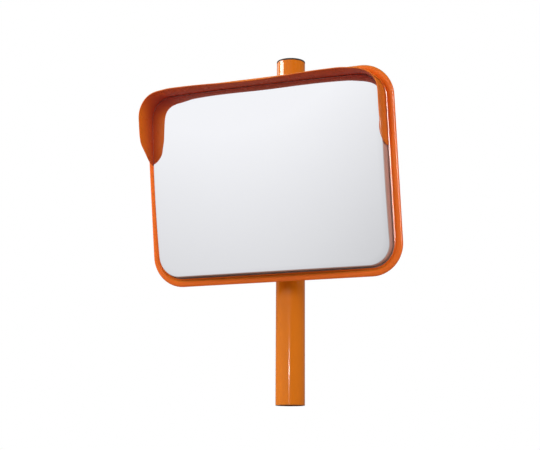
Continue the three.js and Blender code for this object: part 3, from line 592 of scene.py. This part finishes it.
def coloured_skin(name, rgb, gloss, top=None, peel=0.12, peel_scale=300.0, dust=0.1,
                  shine=0.5, tone=0.08, metallic=0.0):
    """Paint or moulding: weathered colour, uneven gloss and orange-peel bump."""
    tree, shader, material = start_material(name)
    if tree is None:
        return material
    clean = opaque(rgb)
    if top is not None:
        clean = blend_colours(tree, facing_up(tree, low=0.05, high=0.75), clean, opaque(top))
    weather = put(tree, "Group", name="weathering", node_tree=weather_group())
    fill(tree, weather, {"Clean": clean, "Amount": dust, "Depth Of Tone": tone})
    skin = put(tree, "Group", node_tree=skin_texture_group(), peel_scale=peel_scale)
    glossiest, dullest = gloss * 0.85, gloss * 1.2
    uneven = remap(tree, skin.outputs["Unevenness"], 0.3, 0.7, glossiest, dullest)
    fill(tree, shader, {
        "Base Color": weather.outputs["Colour"],
        "Metallic": metallic,
        "Roughness": arithmetic(tree, "ADD", uneven, weather.outputs["Dusty"]),
        "IOR": 1.5,
        "Specular IOR Level": shine,
        "Normal": bumps(tree, skin.outputs["Height"], strength=peel, distance=0.0002),
    })
    return material


def silvered_sheet():
    """Silvered face: a near-perfect mirror with faint wiping marks."""
    tree, shader, material = start_material("silvered_sheet")
    if tree is None:
        return material
    marks = noise(tree, place_in(tree), scale=7.0, detail=6.0, roughness=0.65)
    silver = finishes().silver
    clear, hazy = 0.02, 0.045
    fill(tree, shader, {
        "Base Color": blend_colours(tree, marks, opaque(silver), opaque(silver, 0.985)),
        "Metallic": 1.0,
        "Roughness": remap(tree, marks, 0.35, 0.75, clear, hazy),
    })
    return material


def zinc_plate():
    """Bright zinc: faint spangle in colour and gloss, and fine scratches."""
    tree, shader, material = start_material("zinc_plate")
    if tree is None:
        return material
    place = place_in(tree)
    spangle = put(tree, "TexVoronoi", vector=place, scale=260.0)
    flakes = put(tree, "SeparateColor", color=spangle.outputs["Color"]).outputs
    grain = noise(tree, place, scale=900.0, detail=3.0)
    zinc = finishes().zinc
    dark, light = opaque(zinc, 0.82), opaque(zinc, 1.12)
    bright, dull = 0.28, 0.46
    fill(tree, shader, {
        "Base Color": blend_colours(tree, flakes[0], dark, light),
        "Metallic": 1.0,
        "Roughness": remap(tree, flakes[1], 0.0, 1.0, bright, dull),
        "Normal": bumps(tree, grain, strength=0.25, distance=0.0001),
    })
    return material


def matt_rubber():
    """Black rubber with a fine skin."""
    rubber = finishes().rubber
    return coloured_skin(
        "matt_rubber", rubber, gloss=0.72, peel=0.5, peel_scale=900.0, dust=0.25, tone=0.3
    )


def seal_rubber_lightened():
    """Brown rubber of the seal round the panel. It is made pale so that the shaded groove beside
    the face reads lighter, which is partly painted light.
    """
    seal = finishes().seal
    return coloured_skin("seal_rubber_lightened", seal, gloss=0.6, peel=0.4, peel_scale=800.0, tone=0.2)


def skirt_painted_reflection():
    """The panel's skirt: silvering whose brown colour is a painted reflection of the orange rim
    beside it.
    """
    skirt = finishes().skirt
    return coloured_skin(
        "skirt_painted_reflection", skirt, 0.38, peel=0.1, peel_scale=500.0, dust=0.0, tone=0.15, metallic=0.2
    )


def rim_skin():
    """Glossy orange of the rim."""
    rim, top = finishes().rim, finishes().faded_and_lit
    return coloured_skin("rim_skin", rim, gloss=0.2, top=top, dust=0.05, shine=0.15)


def hood_skin():
    """Glossy orange of the hood."""
    hood, top = finishes().hood, finishes().faded_and_lit
    return coloured_skin("hood_skin", hood, gloss=0.27, top=top, dust=0.05, shine=0.1)


def hood_inside():
    """The hood's inside, with painted light and shade: light orange at its front edge, deep red
    at its root beside the face and where it faces down.
    """
    front, root = finishes().hood_lit_front, finishes().hood_shaded_root
    material = coloured_skin("hood_inside", front, gloss=0.27, dust=0.0, shine=0.1)
    tree = material.node_tree
    ahead = head_place().to_3x3() @ Vector((0, -1, 0))
    rim_front = ahead.dot(head_place().translation)
    # The inside goes from the root colour just behind the rim's front to the front colour near
    # the hood's edge: painted shade deep in, painted light at the front
    shaded_depth = rim_front - 0.012
    faded_and_lit = rim_front + sizes().reach * 0.95
    depth = dot(tree, place_in(tree), ahead)
    smooth_ramp = remap(tree, depth, shaded_depth, faded_and_lit, curve="SMOOTHSTEP")
    # Faces that look down get at most 0.35 of the front colour: painted shade under the hood's
    # top
    level = facing_up(tree, low=-0.95, high=-0.2, least=0.35)
    painted_light_share = arithmetic(tree, "MULTIPLY", smooth_ramp, level)
    clean = tree.nodes["weathering"].inputs["Clean"]
    feed(tree, clean, blend_colours(tree, painted_light_share, opaque(root), opaque(front)))
    return material


def pan_skin():
    """Satin orange of the back pan."""
    pan = finishes().pan
    return coloured_skin("pan_skin", pan, gloss=0.36, peel=0.2, peel_scale=260.0)


def post_enamel():
    """Glossy orange paint of the post."""
    post = finishes().post
    return coloured_skin(
        "post_enamel", post, gloss=0.1, peel=0.06, peel_scale=240.0, dust=0.03, shine=0.2
    )


def bracket_enamel():
    """Satin orange paint of the clamp and bracket."""
    paint = finishes().bracket
    return coloured_skin("bracket_enamel", paint, gloss=0.38, peel=0.4, peel_scale=420.0)


def cap_moulding():
    """Dark brown moulding of the post's cap."""
    cap = finishes().cap
    return coloured_skin(
        "cap_moulding", cap, gloss=0.42, peel=0.3, peel_scale=700.0, dust=0.12, tone=0.2
    )


# ----------------------------------------------------------------- head pieces


def hump(t):
    """A rounded hump that is 1 at 0 and 0 from 1 on."""
    return math.cos(QUARTER * min(abs(t), 1)) ** 2


def share_of(value):
    """A value kept between 0 and 1."""
    return min(max(value, 0), 1)


def sphere_depth(x, z, inset):
    """Depth of the spherical face, or of its rear side for an inset."""
    s = sizes()
    radius = s.sphere - inset
    return s.sphere - s.apex - math.sqrt(radius * radius - x * x - z * z)


class ROADMIRROR_OT_mirror_panel(Operator):
    """Builds the silvered convex panel with its skirt and flange"""

    bl_idname = "road_mirror.mirror_panel"
    bl_label = "Mirror Panel"

    FRONT, REAR = 1, 2  # marks of the vertices that follow the face's sphere
    LONG_STEPS, SHORT_STEPS, RINGS = 24, 18, 22
    ROUNDING = 3e-5  # how much a face's place may be rounded

    def execute(self, context):
        s = sizes()
        bm = bmesh.new()
        follows = bm.verts.layers.int.new("follows")
        edge = [
            (s.panel_edge * (math.sin(angle) - 1), s.panel_edge * (1 - math.cos(angle)))
            for angle in angles(QUARTER, EDGE_STEPS)
        ]
        bend, bend_cut = 0.001, 0.0003
        flange_back = s.flange_front + s.panel_t
        points = edge + [
            (s.skirt, s.flange_front - bend),
            (s.skirt + bend_cut, s.flange_front - bend_cut),
            (s.skirt + bend, s.flange_front),
            (s.flange_out, s.flange_front),
            (s.flange_out, flange_back),
            (s.skirt - s.panel_t, flange_back),
            (-s.panel_t, s.panel_edge),
        ]
        section = wire(bm, at_side(points), closed=False)
        verts = verts_of(section)
        for vert in verts[: len(edge)]:
            vert[follows] = self.FRONT
        verts[-1][follows] = self.REAR
        round_the_frame(bm, section, self.LONG_STEPS, self.SHORT_STEPS)
        swept = set(bm.faces)
        for side in (self.FRONT, self.REAR):
            self.fill_dome(bm, follows, side)
        # Faces past the edge's third step take the skirt's finish, with its painted reflection
        skirt_from = edge[2][0]
        for face in bm.faces:
            face.material_index = int(face in swept and self.beyond(face, skirt_from))
        for vert in bm.verts:
            if vert[follows]:
                inset = s.panel_t if vert[follows] == self.REAR else 0
                vert.co.y += sphere_depth(vert.co.x, vert.co.z, inset)
        close_up(bm)
        piece = add_to_head(bm, "silvered_face", silvered_sheet(), sharp=50)
        piece.data.materials.append(skirt_painted_reflection())
        stand_for(piece, "head", "mirror", "mirror_panel")
        return {"FINISHED"}

    def beyond(self, face, offset):
        """Whether all of a face lies outside the face's outline moved by an offset."""
        cx, cz = corner_centre()
        nearest = sizes().corner + offset - self.ROUNDING
        return all(
            math.hypot(max(abs(vert.co.x) - cx, 0), max(abs(vert.co.z) - cz, 0)) >= nearest
            for vert in face.verts
        )

    def fill_dome(self, bm, follows, side):
        """Closes one side with rings that shrink to the middle."""
        ring = [
            e for e in bm.edges if e.is_boundary and all(v[follows] == side for v in e.verts)
        ]
        for left in range(self.RINGS, 1, -1):
            made = bmesh.ops.extrude_edge_only(bm, edges=ring)["geom"]
            verts = verts_of(made)
            share = (left - 1) / left
            bmesh.ops.scale(bm, vec=(share, 1, share), verts=verts)
            ring = [e for e in made if isinstance(e, bmesh.types.BMEdge) and e.is_boundary]
        verts = {v for e in ring for v in e.verts}
        level = sum(v.co.y for v in verts) / len(verts)
        made = bmesh.ops.extrude_edge_only(bm, edges=ring)["geom"]
        bmesh.ops.pointmerge(bm, verts=verts_of(made), merge_co=(0, level, 0))


class ROADMIRROR_OT_rim(Operator):
    """Builds the rolled rim round the mirror"""

    bl_idname = "road_mirror.rim"
    bl_label = "Rim"

    OUTER_STEPS, INNER_STEPS = 24, 8
    IN_THE_GROOVE = 3  # points of the bead that the groove takes away

    def execute(self, context):
        s = sizes()
        bm = bmesh.new()
        points = [
            (s.rim_in, s.lip_depth),
            (s.rim_in, s.bead_top),
            (s.rim_in + s.lip_lean, s.lip_front),
            (s.groove_in, s.groove),
            *self.bead(0, self.OUTER_STEPS)[self.IN_THE_GROOVE :],
            (s.rim_back, s.rim_depth),
            (s.rim_back - s.rim_wall, s.rim_depth),
            *reversed(self.bead(s.rim_wall, self.INNER_STEPS)),
            (s.rim_in + s.rim_wall, s.lip_depth),
        ]
        round_the_frame(bm, wire(bm, at_side(points)))
        piece = add_to_head(bm, "rolled_rim", rim_skin())
        soften(piece, RIM_EDGE)
        stand_for(piece, "head", "rim_plastic", "rim_frame")
        return {"FINISHED"}

    def bead(self, inset, steps):
        """Half ellipse over the bead, as (offset, depth); inset gives the inside."""
        s = sizes()
        middle = (s.bead_in + s.rim_out) / 2
        across = (s.rim_out - s.bead_in) / 2 - inset
        height = s.bead_top - inset
        return [
            (middle + across * math.cos(angle), s.bead_top - height * math.sin(angle))
            for angle in reversed(angles(math.pi, steps))
        ]


class ROADMIRROR_OT_hood(Operator):
    """Builds the hood: foot in the groove, wall and rounded front edge"""

    bl_idname = "road_mirror.hood"
    bl_label = "Hood"

    WALL_STEPS, CHEEK_STEPS, TOP_STEPS = 8, 26, 48
    CROWDING = 1.7  # power that crowds the cheeks' stations towards their ends
    ASPECT = 1.33  # about the face's width over its height
    INWARDS = -0.5  # a face turned further than this looks at the middle

    def execute(self, context):
        s = sizes()
        bm = bmesh.new()
        share = bm.verts.layers.float.new("share")
        out = s.rim_in - s.hood_gap
        inside = out - s.hood_wall
        half = s.hood_wall / 2
        stations = [i / self.WALL_STEPS for i in range(self.WALL_STEPS)]
        edge = [
            (inside + half + half * math.cos(angle), half * (1 - math.sin(angle)))
            for angle in angles(math.pi, EDGE_STEPS)
        ]
        rows = [
            ((inside, s.foot_back), 0),
            ((s.foot_out, s.foot_back), 0),
            ((s.foot_out, s.foot_front), 0),
            ((out, s.foot_front), 0),
            *(((out, half), along) for along in stations),
            *((point, 1) for point in edge),
            *(((inside, half), along) for along in reversed(stations)),
            ((inside, s.foot_front), 0),
        ]
        section = wire(bm, at_side(point for point, along in rows))
        verts = verts_of(section)
        for vert, (point, along) in zip(verts, rows):
            vert[share] = along
        bmesh.ops.translate(bm, vec=(0, 0, s.hood_end), verts=verts)
        cx, cz = corner_centre()
        centres = [(cx, s.hood_end), (cx, cz), (-cx, cz), (-cx, s.hood_end)]
        carry(bm, section, centres, [self.CHEEK_STEPS, self.TOP_STEPS, self.CHEEK_STEPS])
        bmesh.ops.holes_fill(bm, edges=[e for e in bm.edges if e.is_boundary], sides=0)
        self.spread_ends(bm, cz)
        for vert in bm.verts:
            if vert[share]:
                self.shape_edge(vert, vert[share], cx, cz)
        close_up(bm)
        for face in bm.faces:
            # Faces that look at the middle take the inside's finish, with its painted light and
            # shade
            face.material_index = int(self.looks_inwards(face))
        piece = add_to_head(bm, "glare_hood", hood_skin())
        piece.data.materials.append(hood_inside())
        soften(piece, HOOD_EDGE)
        stand_for(piece, "head", "hood_plastic", "hood")
        return {"FINISHED"}

    def spread_ends(self, bm, cz):
        """Crowds the cheeks' stations towards their rounded lower ends."""
        low = sizes().hood_end
        for vert in bm.verts:
            if vert.co.z < cz:
                share = (vert.co.z - low) / (cz - low)
                vert.co.z = low + (cz - low) * max(share, 0) ** self.CROWDING

    def looks_inwards(self, face):
        """Whether a face of the wall looks at the middle of the mirror."""
        middle = face.calc_center_median()
        outward = Vector((middle.x / self.ASPECT, 0, middle.z)).normalized()
        return middle.y < 0 and face.normal.dot(outward) < self.INWARDS

    def shape_edge(self, vert, share, cx, cz):
        """Moves a vertex of the wall by its share of the edge's reach and lean."""
        s = sizes()
        over_x = max(abs(vert.co.x) - cx, 0)
        over_z = max(vert.co.z - cz, 0)
        span = math.hypot(over_x, over_z)
        nx, nz = over_x / span, over_z / span
        above_end = vert.co.z - s.hood_end
        end = math.sqrt(1 - (1 - share_of(above_end / s.runout)) ** 2)
        at_corner = (2 * nx * nz) ** 2
        reach = (s.reach * nz**2 + s.cheek_reach * nx**2 - s.corner_cut * at_corner) * end
        top = s.lean - s.sag * hump(vert.co.x / s.sag_half)
        curled = math.sin(math.pi * share_of(above_end / s.curl_length))
        cheek = s.cheek_lean * end - s.curl * curled
        face_x = cx + s.corner * nx if over_x > 0 else abs(vert.co.x)
        draw = s.draw * hump((s.face_w / 2 - face_x - s.draw_at) / s.draw_half)
        lean = top * nz**2 + cheek * nx**2 + s.corner_out * at_corner - draw * end
        lean *= share**2
        lean -= s.bow * math.sin(math.pi * share) * end
        vert.co += Vector((math.copysign(nx, vert.co.x) * lean, -reach * share, nz * lean))


class ROADMIRROR_OT_back_pan(Operator):
    """Builds the pressed back pan with its bead, ribs and drain holes"""

    bl_idname = "road_mirror.back_pan"
    bl_label = "Back Pan"

    SLOPE_STEPS = 14
    LEAST_CORNER = 0.02
    RIBS_AT = (-0.13, -0.095, 0.095, 0.13)
    RIB_END = 0.49  # radius of a rib's ends, as a share of its width
    RIB_EDGE = 0.0016
    DRAINS_AT = (-0.15, 0, 0.15)
    DRAIN_UP = 0.014  # from the face's lower edge
    DRAIN_Y, DRAIN_ROD = 0.03, 0.08  # middle and length of the rods that cut the holes

    def execute(self, context):
        s = sizes()
        bm = bmesh.new()
        points = [(s.pan_edge, s.pan_seat_depth), (s.pan_seat, s.pan_seat_depth)]
        for i in range(1, self.SLOPE_STEPS + 1):
            share = i / self.SLOPE_STEPS
            offset = s.pan_seat - share * (s.pan_seat + s.pan_flat_in)
            rise = (s.pan_depth - s.pan_seat_depth) * math.sin(share * QUARTER)
            points.append((offset, s.pan_seat_depth + rise))
        start = -s.pan_flat_in - s.bead_w
        points += [
            (start, s.pan_depth),
            (start - s.bead, s.pan_depth - s.bead),
            (start - s.bead - s.bead_w, s.pan_depth - s.bead),
            (start - 2 * s.bead - s.bead_w, s.pan_depth),
        ]
        self.round_with_corners(bm, points)
        inner = [e for e in bm.edges if e.is_boundary and e.verts[0].co.y > s.pan_depth - SLACK]
        bmesh.ops.contextual_create(bm, geom=inner)
        close_up(bm)
        if max(bm.faces, key=lambda face: face.calc_area()).normal.y < 0:
            bmesh.ops.reverse_faces(bm, faces=bm.faces)
        bmesh.ops.solidify(bm, geom=bm.faces[:], thickness=s.pan_t)
        piece = add_to_head(bm, "pressed_back_pan", pan_skin())
        boolean(piece, self.ribs(), "UNION")
        boolean(piece, self.drains(), "DIFFERENCE")
        soften(piece, PAN_EDGE)
        stand_for(piece, "head", "shell_plastic", "back_shell")
        return {"FINISHED"}

    def round_with_corners(self, bm, points):
        """Bridges loops at each offset, with corners no tighter than the least one."""
        s = sizes()
        loops = []
        for offset, depth in points:
            half_w, half_h = s.face_w / 2 + offset, s.face_h / 2 + offset
            radius = max(s.corner + offset, self.LEAST_CORNER)
            cx, cz = half_w - radius, half_h - radius
            centres = [(cx, cz), (cx, cz), (-cx, cz), (-cx, -cz), (cx, -cz), (cx, cz)]
            carry(bm, [bm.verts.new((half_w, depth, cz))], centres, [0, 1, 1, 1, 1])
            bmesh.ops.remove_doubles(bm, verts=bm.verts, dist=MERGE)
            known = {e for loop in loops for e in loop}
            loops.append([e for e in bm.edges if e not in known])
        for first, second in zip(loops, loops[1:]):
            bmesh.ops.bridge_loops(bm, edges=first + second)

    def ribs(self):
        """Upright ribs with round ends, as a tool in the head's place."""
        s = sizes()
        bm = bmesh.new()
        size = Matrix.Diagonal((s.rib_w, 2 * s.rib_h, s.rib_length, 1))
        bmesh.ops.create_cube(bm, size=1, matrix=size)
        ends = [e for e in bm.edges if abs(e.verts[0].co.y - e.verts[1].co.y) > SLACK]
        bevel(bm, ends, s.rib_w * self.RIB_END, segments=8)
        rear = [e for e in bm.edges if min(v.co.y for v in e.verts) > s.rib_h - SLACK]
        bevel(bm, rear, self.RIB_EDGE, segments=3)
        rib = bm.verts[:] + bm.edges[:] + bm.faces[:]
        for x in self.RIBS_AT:
            made = bmesh.ops.duplicate(bm, geom=rib)["geom"]
            bmesh.ops.translate(bm, vec=(x, s.pan_depth, 0), verts=verts_of(made))
        bmesh.ops.delete(bm, geom=verts_of(rib), context="VERTS")
        return add_to_head(bm, "rib_tool", pan_skin())

    def drains(self):
        """Rods where the drain holes are cut, as a tool in the head's place."""
        s = sizes()
        bm = bmesh.new()
        for x in self.DRAINS_AT:
            place = Matrix.Translation((x, self.DRAIN_Y, self.DRAIN_UP - s.face_h / 2))
            bmesh.ops.create_cone(
                bm,
                cap_ends=True,
                segments=32,
                radius1=s.drain,
                radius2=s.drain,
                depth=self.DRAIN_ROD,
                matrix=place @ Matrix.Rotation(QUARTER, 4, "X"),
            )
        bmesh.ops.recalc_face_normals(bm, faces=bm.faces)
        return add_to_head(bm, "drain_tool", pan_skin())


# ----------------------------------------------------------------- post pieces


class ROADMIRROR_OT_post(Operator):
    """Builds the painted tube and its push-in cap"""

    bl_idname = "road_mirror.post"
    bl_label = "Post and Cap"

    CAP_EDGE_STEPS = 6
    SEAT_GAP = 0.0001  # between the tube's end and the cap's plate
    PLUG_GAP = 0.0003  # between the tube and the cap's plug
    PLUG_WALL = 0.0025
    HOLLOW = 0.0005  # how much lower the plate is inside the plug

    def execute(self, context):
        p = context.scene.road_mirror_post
        bm = bmesh.new()
        top = p.top - p.plate
        inside = p.radius - p.wall
        lathe(bm, [(inside, 0), (p.radius, 0), (p.radius, top), (inside, top)], p.steps)
        post = add_object(bm, "painted_post", post_enamel())
        soften(post, POST_EDGE)
        stand_for(post, "post", "post_paint", "post_tube")
        under = top + self.SEAT_GAP
        rim = p.radius + p.overhang
        plug = inside - self.PLUG_GAP
        edge = [
            (rim - p.edge * (1 - math.sin(angle)), p.top - p.edge * (1 - math.cos(angle)))
            for angle in angles(QUARTER, self.CAP_EDGE_STEPS)
        ]
        profile = [
            (0, p.top),
            *edge,
            (rim, under),
            (plug, under),
            (plug, under - p.plug),
            (plug - self.PLUG_WALL, under - p.plug),
            (plug - self.PLUG_WALL, under - self.HOLLOW),
            (0, under - self.HOLLOW),
        ]
        bm = bmesh.new()
        lathe(bm, profile, p.steps)
        cap = add_object(bm, "post_top_cap", cap_moulding())
        stand_for(cap, "post", "cap_plastic", "post_cap")
        return {"FINISHED"}


class ROADMIRROR_OT_clamp(Operator):
    """Builds the clamp's halves, the liner and the tilting bracket"""

    bl_idname = "road_mirror.clamp"
    bl_label = "Clamp and Bracket"

    def execute(self, context):
        paint = bracket_enamel
        for name, node, body, slot, finish, width in (
            ("rubber_liner", "clamp_liner", "liner", "liner_rubber", matt_rubber, LINER_EDGE),
            ("clamp_yoke_half", "clamp_front", "clamp", "bracket_paint", paint, BRACKET_EDGE),
            ("clamp_rear_half", "clamp_rear", "clamp", "bracket_paint", paint, BRACKET_EDGE),
            ("bracket_with_ears", "tilt_bracket", "head", "bracket_paint", paint, BRACKET_EDGE),
        ):
            dress_solid(node, name, body, slot, finish(), width, sharp=32)
        return {"FINISHED"}


class ROADMIRROR_OT_fasteners(Operator):
    """Dresses every bolt, nut, washer and screw"""

    bl_idname = "road_mirror.fasteners"
    bl_label = "Fasteners"

    def execute(self, context):
        bodies = frame["record"]["behaviour"]["bodies"]
        for subpart in frame["record"]["subparts"]:
            node = subpart["node"]
            if subpart["material_slot"] == "zinc":
                body = next(name for name, held in bodies.items() if node in held)
                dress_solid(node, f"plated_{node}", body, "zinc", zinc_plate(), FASTENER_EDGE)
        return {"FINISHED"}


class ROADMIRROR_OT_gasket(Operator):
    """Gives the gasket, whose plain solid stays in view, its finish"""

    bl_idname = "road_mirror.gasket"
    bl_label = "Gasket"

    def execute(self, context):
        gasket = frame["nodes"]["gasket"]
        gasket.data.materials.clear()
        gasket.data.materials.append(seal_rubber_lightened())
        return {"FINISHED"}


# ----------------------------------------------------------------------- stage


class ROADMIRROR_OT_stage(Operator):
    """Sets up the camera, lamps, pale floor and white background"""

    bl_idname = "road_mirror.stage"
    bl_label = "Stage"

    AIM = Vector((0, -0.1, 0.62))  # what the lamps point at
    FLOOR_DROP = 0.0005  # how far the floor lies below the post's foot

    def execute(self, context):
        context.scene.view_settings.view_transform = "Standard"
        self.add_camera(context)
        self.add_floor(context)
        self.add_world(context)
        stage = context.scene.road_mirror_stage
        # Lamps that light surfaces; of these, gloss shows only the last two
        for name, power, size, place in (
            ("key_lamp", stage.key, (2.6, 1.6), (-2.8, -0.85, 1.97)),
            ("fill_lamp", stage.fill, (2.2, 1.2), (3.06, -0.64, 1.39)),
            ("front_lamp", stage.front, (1.8, 1.2), (0.28, -3.26, 1.07)),
            ("top_lamp", stage.top, (2.0, 1.4), (-0.3, -0.5, 3.2)),
            ("back_lamp", stage.back, (1.6, 1.6), (-1.0, 2.2, 3.2)),
        ):
            lamp = self.add_lamp(context, name, power, size, place)
            lamp.visible_glossy = name in ("top_lamp", "back_lamp")
            if name == "key_lamp":
                lamp.data.color = stage.sky
        # Lamps that only the gloss of one piece shows
        for name, power, size, place, piece in (
            ("post_streak", stage.streak, (2.0, 0.7), (-2.75, -1.6, 2.0), "painted_post"),
            ("post_sheen", stage.sheen, (1.4, 0.7), (-3.1, 0.9, 2.0), "painted_post"),
            ("post_glint", stage.glint, (0.06, 0.07), (0.66, -2.95, 0.33), "painted_post"),
            ("rim_streak", stage.rim, (0.5, 1.5), (2.6, -1.75, 0.9), "rolled_rim"),
            ("cheek_sheen", stage.cheek, (1.8, 1.6), (1.3, 2.9, 0.6), "glare_hood"),
        ):
            lamp = self.add_lamp(context, name, power, size, place)
            lamp.visible_diffuse = False
            shown_in = bpy.data.collections.new(f"{name}_receiver")
            shown_in.objects.link(bpy.data.objects[piece])
            lamp.light_linking.receiver_collection = shown_in
        return {"FINISHED"}

    def add_camera(self, context):
        """The photograph's view: seen from the right and from below."""
        data = bpy.data.cameras.new("road_mirror_camera")
        data.sensor_fit = "HORIZONTAL"
        data.sensor_width = 36
        data.lens = context.scene.road_mirror_stage.lens
        camera = bpy.data.objects.new("road_mirror_camera", data)
        right = Vector((0.924452, 0.381257, 0.005632))
        up = Vector((0.069112, -0.182068, 0.980854))
        back = Vector((0.374983, -0.906363, -0.194662))
        place = Matrix((right, up, back)).transposed().to_4x4()
        place.translation = (1.16521, -2.95927, -0.157)
        camera.matrix_world = place
        context.scene.collection.objects.link(camera)
        context.scene.camera = camera

    def add_lamp(self, context, name, power, size, place):
        """A soft rectangular lamp that the camera doesn't see."""
        data = bpy.data.lights.new(name, "AREA")
        data.shape = "RECTANGLE"
        data.size, data.size_y = size
        data.energy = power
        lamp = bpy.data.objects.new(name, data)
        lamp.location = place
        way = self.AIM - Vector(place)
        lamp.rotation_euler = way.to_track_quat("-Z", "Y").to_euler()
        lamp.visible_camera = False
        context.scene.collection.objects.link(lamp)
        return lamp

    def add_floor(self, context):
        """A round pale floor that fades out and isn't there from underneath."""
        stage = context.scene.road_mirror_stage
        bm = bmesh.new()
        bmesh.ops.create_circle(bm, cap_ends=True, segments=96, radius=stage.floor_radius)
        mesh = bpy.data.meshes.new("pale_floor")
        bm.to_mesh(mesh)
        bm.free()
        floor = bpy.data.objects.new("pale_floor", mesh)
        mesh.materials.append(self.floor_finish(stage.floor_radius, stage.floor_clear))
        floor.location.z = -self.FLOOR_DROP
        context.scene.collection.objects.link(floor)

    def floor_finish(self, radius, clear_middle):
        """Pale matt floor, clear from underneath, in gloss and far out.

        Its middle, under the post, is clear to all but the camera.
        """
        tree, shader, material = start_material("pale_floor")
        fill(tree, shader, {
            "Base Color": opaque((0.86, 0.86, 0.86)),
            "Roughness": 0.9,
            "Specular IOR Level": 0.1,
        })
        away = put(tree, "VectorMath", operation="LENGTH", vector=place_in(tree))
        away = away.outputs["Value"]
        fade_start, fade_end, bounce_held_back = radius * 0.25, radius * 0.95, 0.5
        smooth_ramp = remap(tree, away, fade_start, fade_end, curve="SMOOTHSTEP")
        rays = put(tree, "LightPath").outputs
        seen = rays["Is Camera Ray"]
        below_post = arithmetic(tree, "LESS_THAN", away, clear_middle)
        unseen = arithmetic(tree, "SUBTRACT", 1.0, seen)
        rear = put(tree, "NewGeometry").outputs["Backfacing"]
        clear = smooth_ramp
        for share in (
            arithmetic(tree, "MULTIPLY", below_post, unseen),
            arithmetic(tree, "MULTIPLY", rear, seen),
            arithmetic(tree, "MULTIPLY", rays["Is Diffuse Ray"], bounce_held_back),
            rays["Is Glossy Ray"],
        ):
            clear = arithmetic(tree, "MAXIMUM", clear, share)
        nothing = put(tree, "BsdfTransparent").outputs[0]
        shown = blend_shaders(tree, clear, shader.outputs[0], nothing)
        feed(tree, tree.nodes["Material Output"].inputs["Surface"], shown)
        return material

    def add_world(self, context):
        """White background, soft light from all round and a studio seen in gloss."""
        world = bpy.data.worlds.new("studio")
        context.scene.world = world
        world.use_nodes = True
        tree = world.node_tree
        tree.nodes.clear()
        rays = put(tree, "LightPath").outputs
        gloss = rays["Is Glossy Ray"]
        way = put(tree, "TexCoord").outputs["Generated"]
        along = put(tree, "SeparateXYZ", vector=way).outputs
        white = put(tree, "Background", color=(1, 1, 1, 1), strength=1.0).outputs[0]

        # The light from all round: dimmer from below, and left out of gloss
        ambient = context.scene.road_mirror_stage.ambient
        by_gloss = arithmetic(tree, "MULTIPLY", gloss, -ambient)
        strength = arithmetic(tree, "ADD", by_gloss, ambient)
        level = remap(tree, along["Z"], -0.6, 0.3, to_low=0.5)
        around = put(tree, "Background", color=level, strength=strength).outputs[0]
        studio = self.add_studio(tree, way, along, rays)
        unscattered = arithmetic(tree, "LESS_THAN", rays["Diffuse Depth"], 0.5)
        in_gloss = arithmetic(tree, "MULTIPLY", gloss, unscattered)
        lit = blend_shaders(tree, in_gloss, around, studio)
        shown = blend_shaders(tree, rays["Is Camera Ray"], lit, white)
        put(tree, "OutputWorld", surface=shown)

    def add_studio(self, tree, way, along, rays):
        """The studio that gloss shows: pale in front, most of all above and at the left."""
        to_left, side_loss, rise, level_ahead = 0.45, -0.6, 0.5, 0.955
        aside = arithmetic(tree, "ADD", along["X"], to_left)
        across = arithmetic(tree, "MULTIPLY", arithmetic(tree, "POWER", aside, 2.0), side_loss)
        upward = arithmetic(tree, "MULTIPLY", along["Z"], rise)
        bright = arithmetic(tree, "ADD", arithmetic(tree, "ADD", across, upward), level_ahead)
        backwards = (0.38, 0.92, 0.0)
        ahead = remap(tree, dot(tree, way, backwards), -0.1, -0.75, curve="SMOOTHSTEP")
        level = arithmetic(tree, "MULTIPLY", bright, ahead)
        colour_here = put(tree, "Clamp", value=level, min=0.3, max=1.0).outputs[0]
        second_loss = 0.8  # how much dimmer it is in a reflection of a reflection
        deep = arithmetic(tree, "GREATER_THAN", rays["Glossy Depth"], 1.5)
        loss = arithmetic(tree, "MULTIPLY", deep, second_loss)
        strength = arithmetic(tree, "SUBTRACT", 1.0, loss)
        return put(tree, "Background", color=colour_here, strength=strength).outputs[0]


class ROADMIRROR_PT_sidebar(Panel):
    """Lists the builders in the sidebar"""

    bl_idname = "ROADMIRROR_PT_sidebar"
    bl_label = "Road Mirror"
    bl_space_type = "VIEW_3D"
    bl_region_type = "UI"
    bl_category = "Road Mirror"

    def draw(self, context):
        for builder in BUILDERS:
            self.layout.operator(builder.bl_idname)


GROUPS = {
    "road_mirror_head": RoadMirrorHead,
    "road_mirror_post": RoadMirrorPost,
    "road_mirror_finish": RoadMirrorFinish,
    "road_mirror_stage": RoadMirrorStage,
}
BUILDERS = (
    ROADMIRROR_OT_mirror_panel,
    ROADMIRROR_OT_rim,
    ROADMIRROR_OT_hood,
    ROADMIRROR_OT_back_pan,
    ROADMIRROR_OT_post,
    ROADMIRROR_OT_clamp,
    ROADMIRROR_OT_fasteners,
    ROADMIRROR_OT_gasket,
    ROADMIRROR_OT_stage,
)


def register():
    """Registers the settings, builders and panel."""
    for cls in (*GROUPS.values(), *BUILDERS, ROADMIRROR_PT_sidebar):
        bpy.utils.register_class(cls)
    for name, group in GROUPS.items():
        setattr(bpy.types.Scene, name, PointerProperty(type=group))


def unregister():
    """Takes everything that register added out again."""
    for name in GROUPS:
        delattr(bpy.types.Scene, name)
    for cls in reversed((*GROUPS.values(), *BUILDERS, ROADMIRROR_PT_sidebar)):
        bpy.utils.unregister_class(cls)


def main():
    """Builds the whole object."""
    register()
    for builder in BUILDERS:
        group, name = builder.bl_idname.split(".")
        getattr(getattr(bpy.ops, group), name)()


if __name__ == "__main__":
    main()
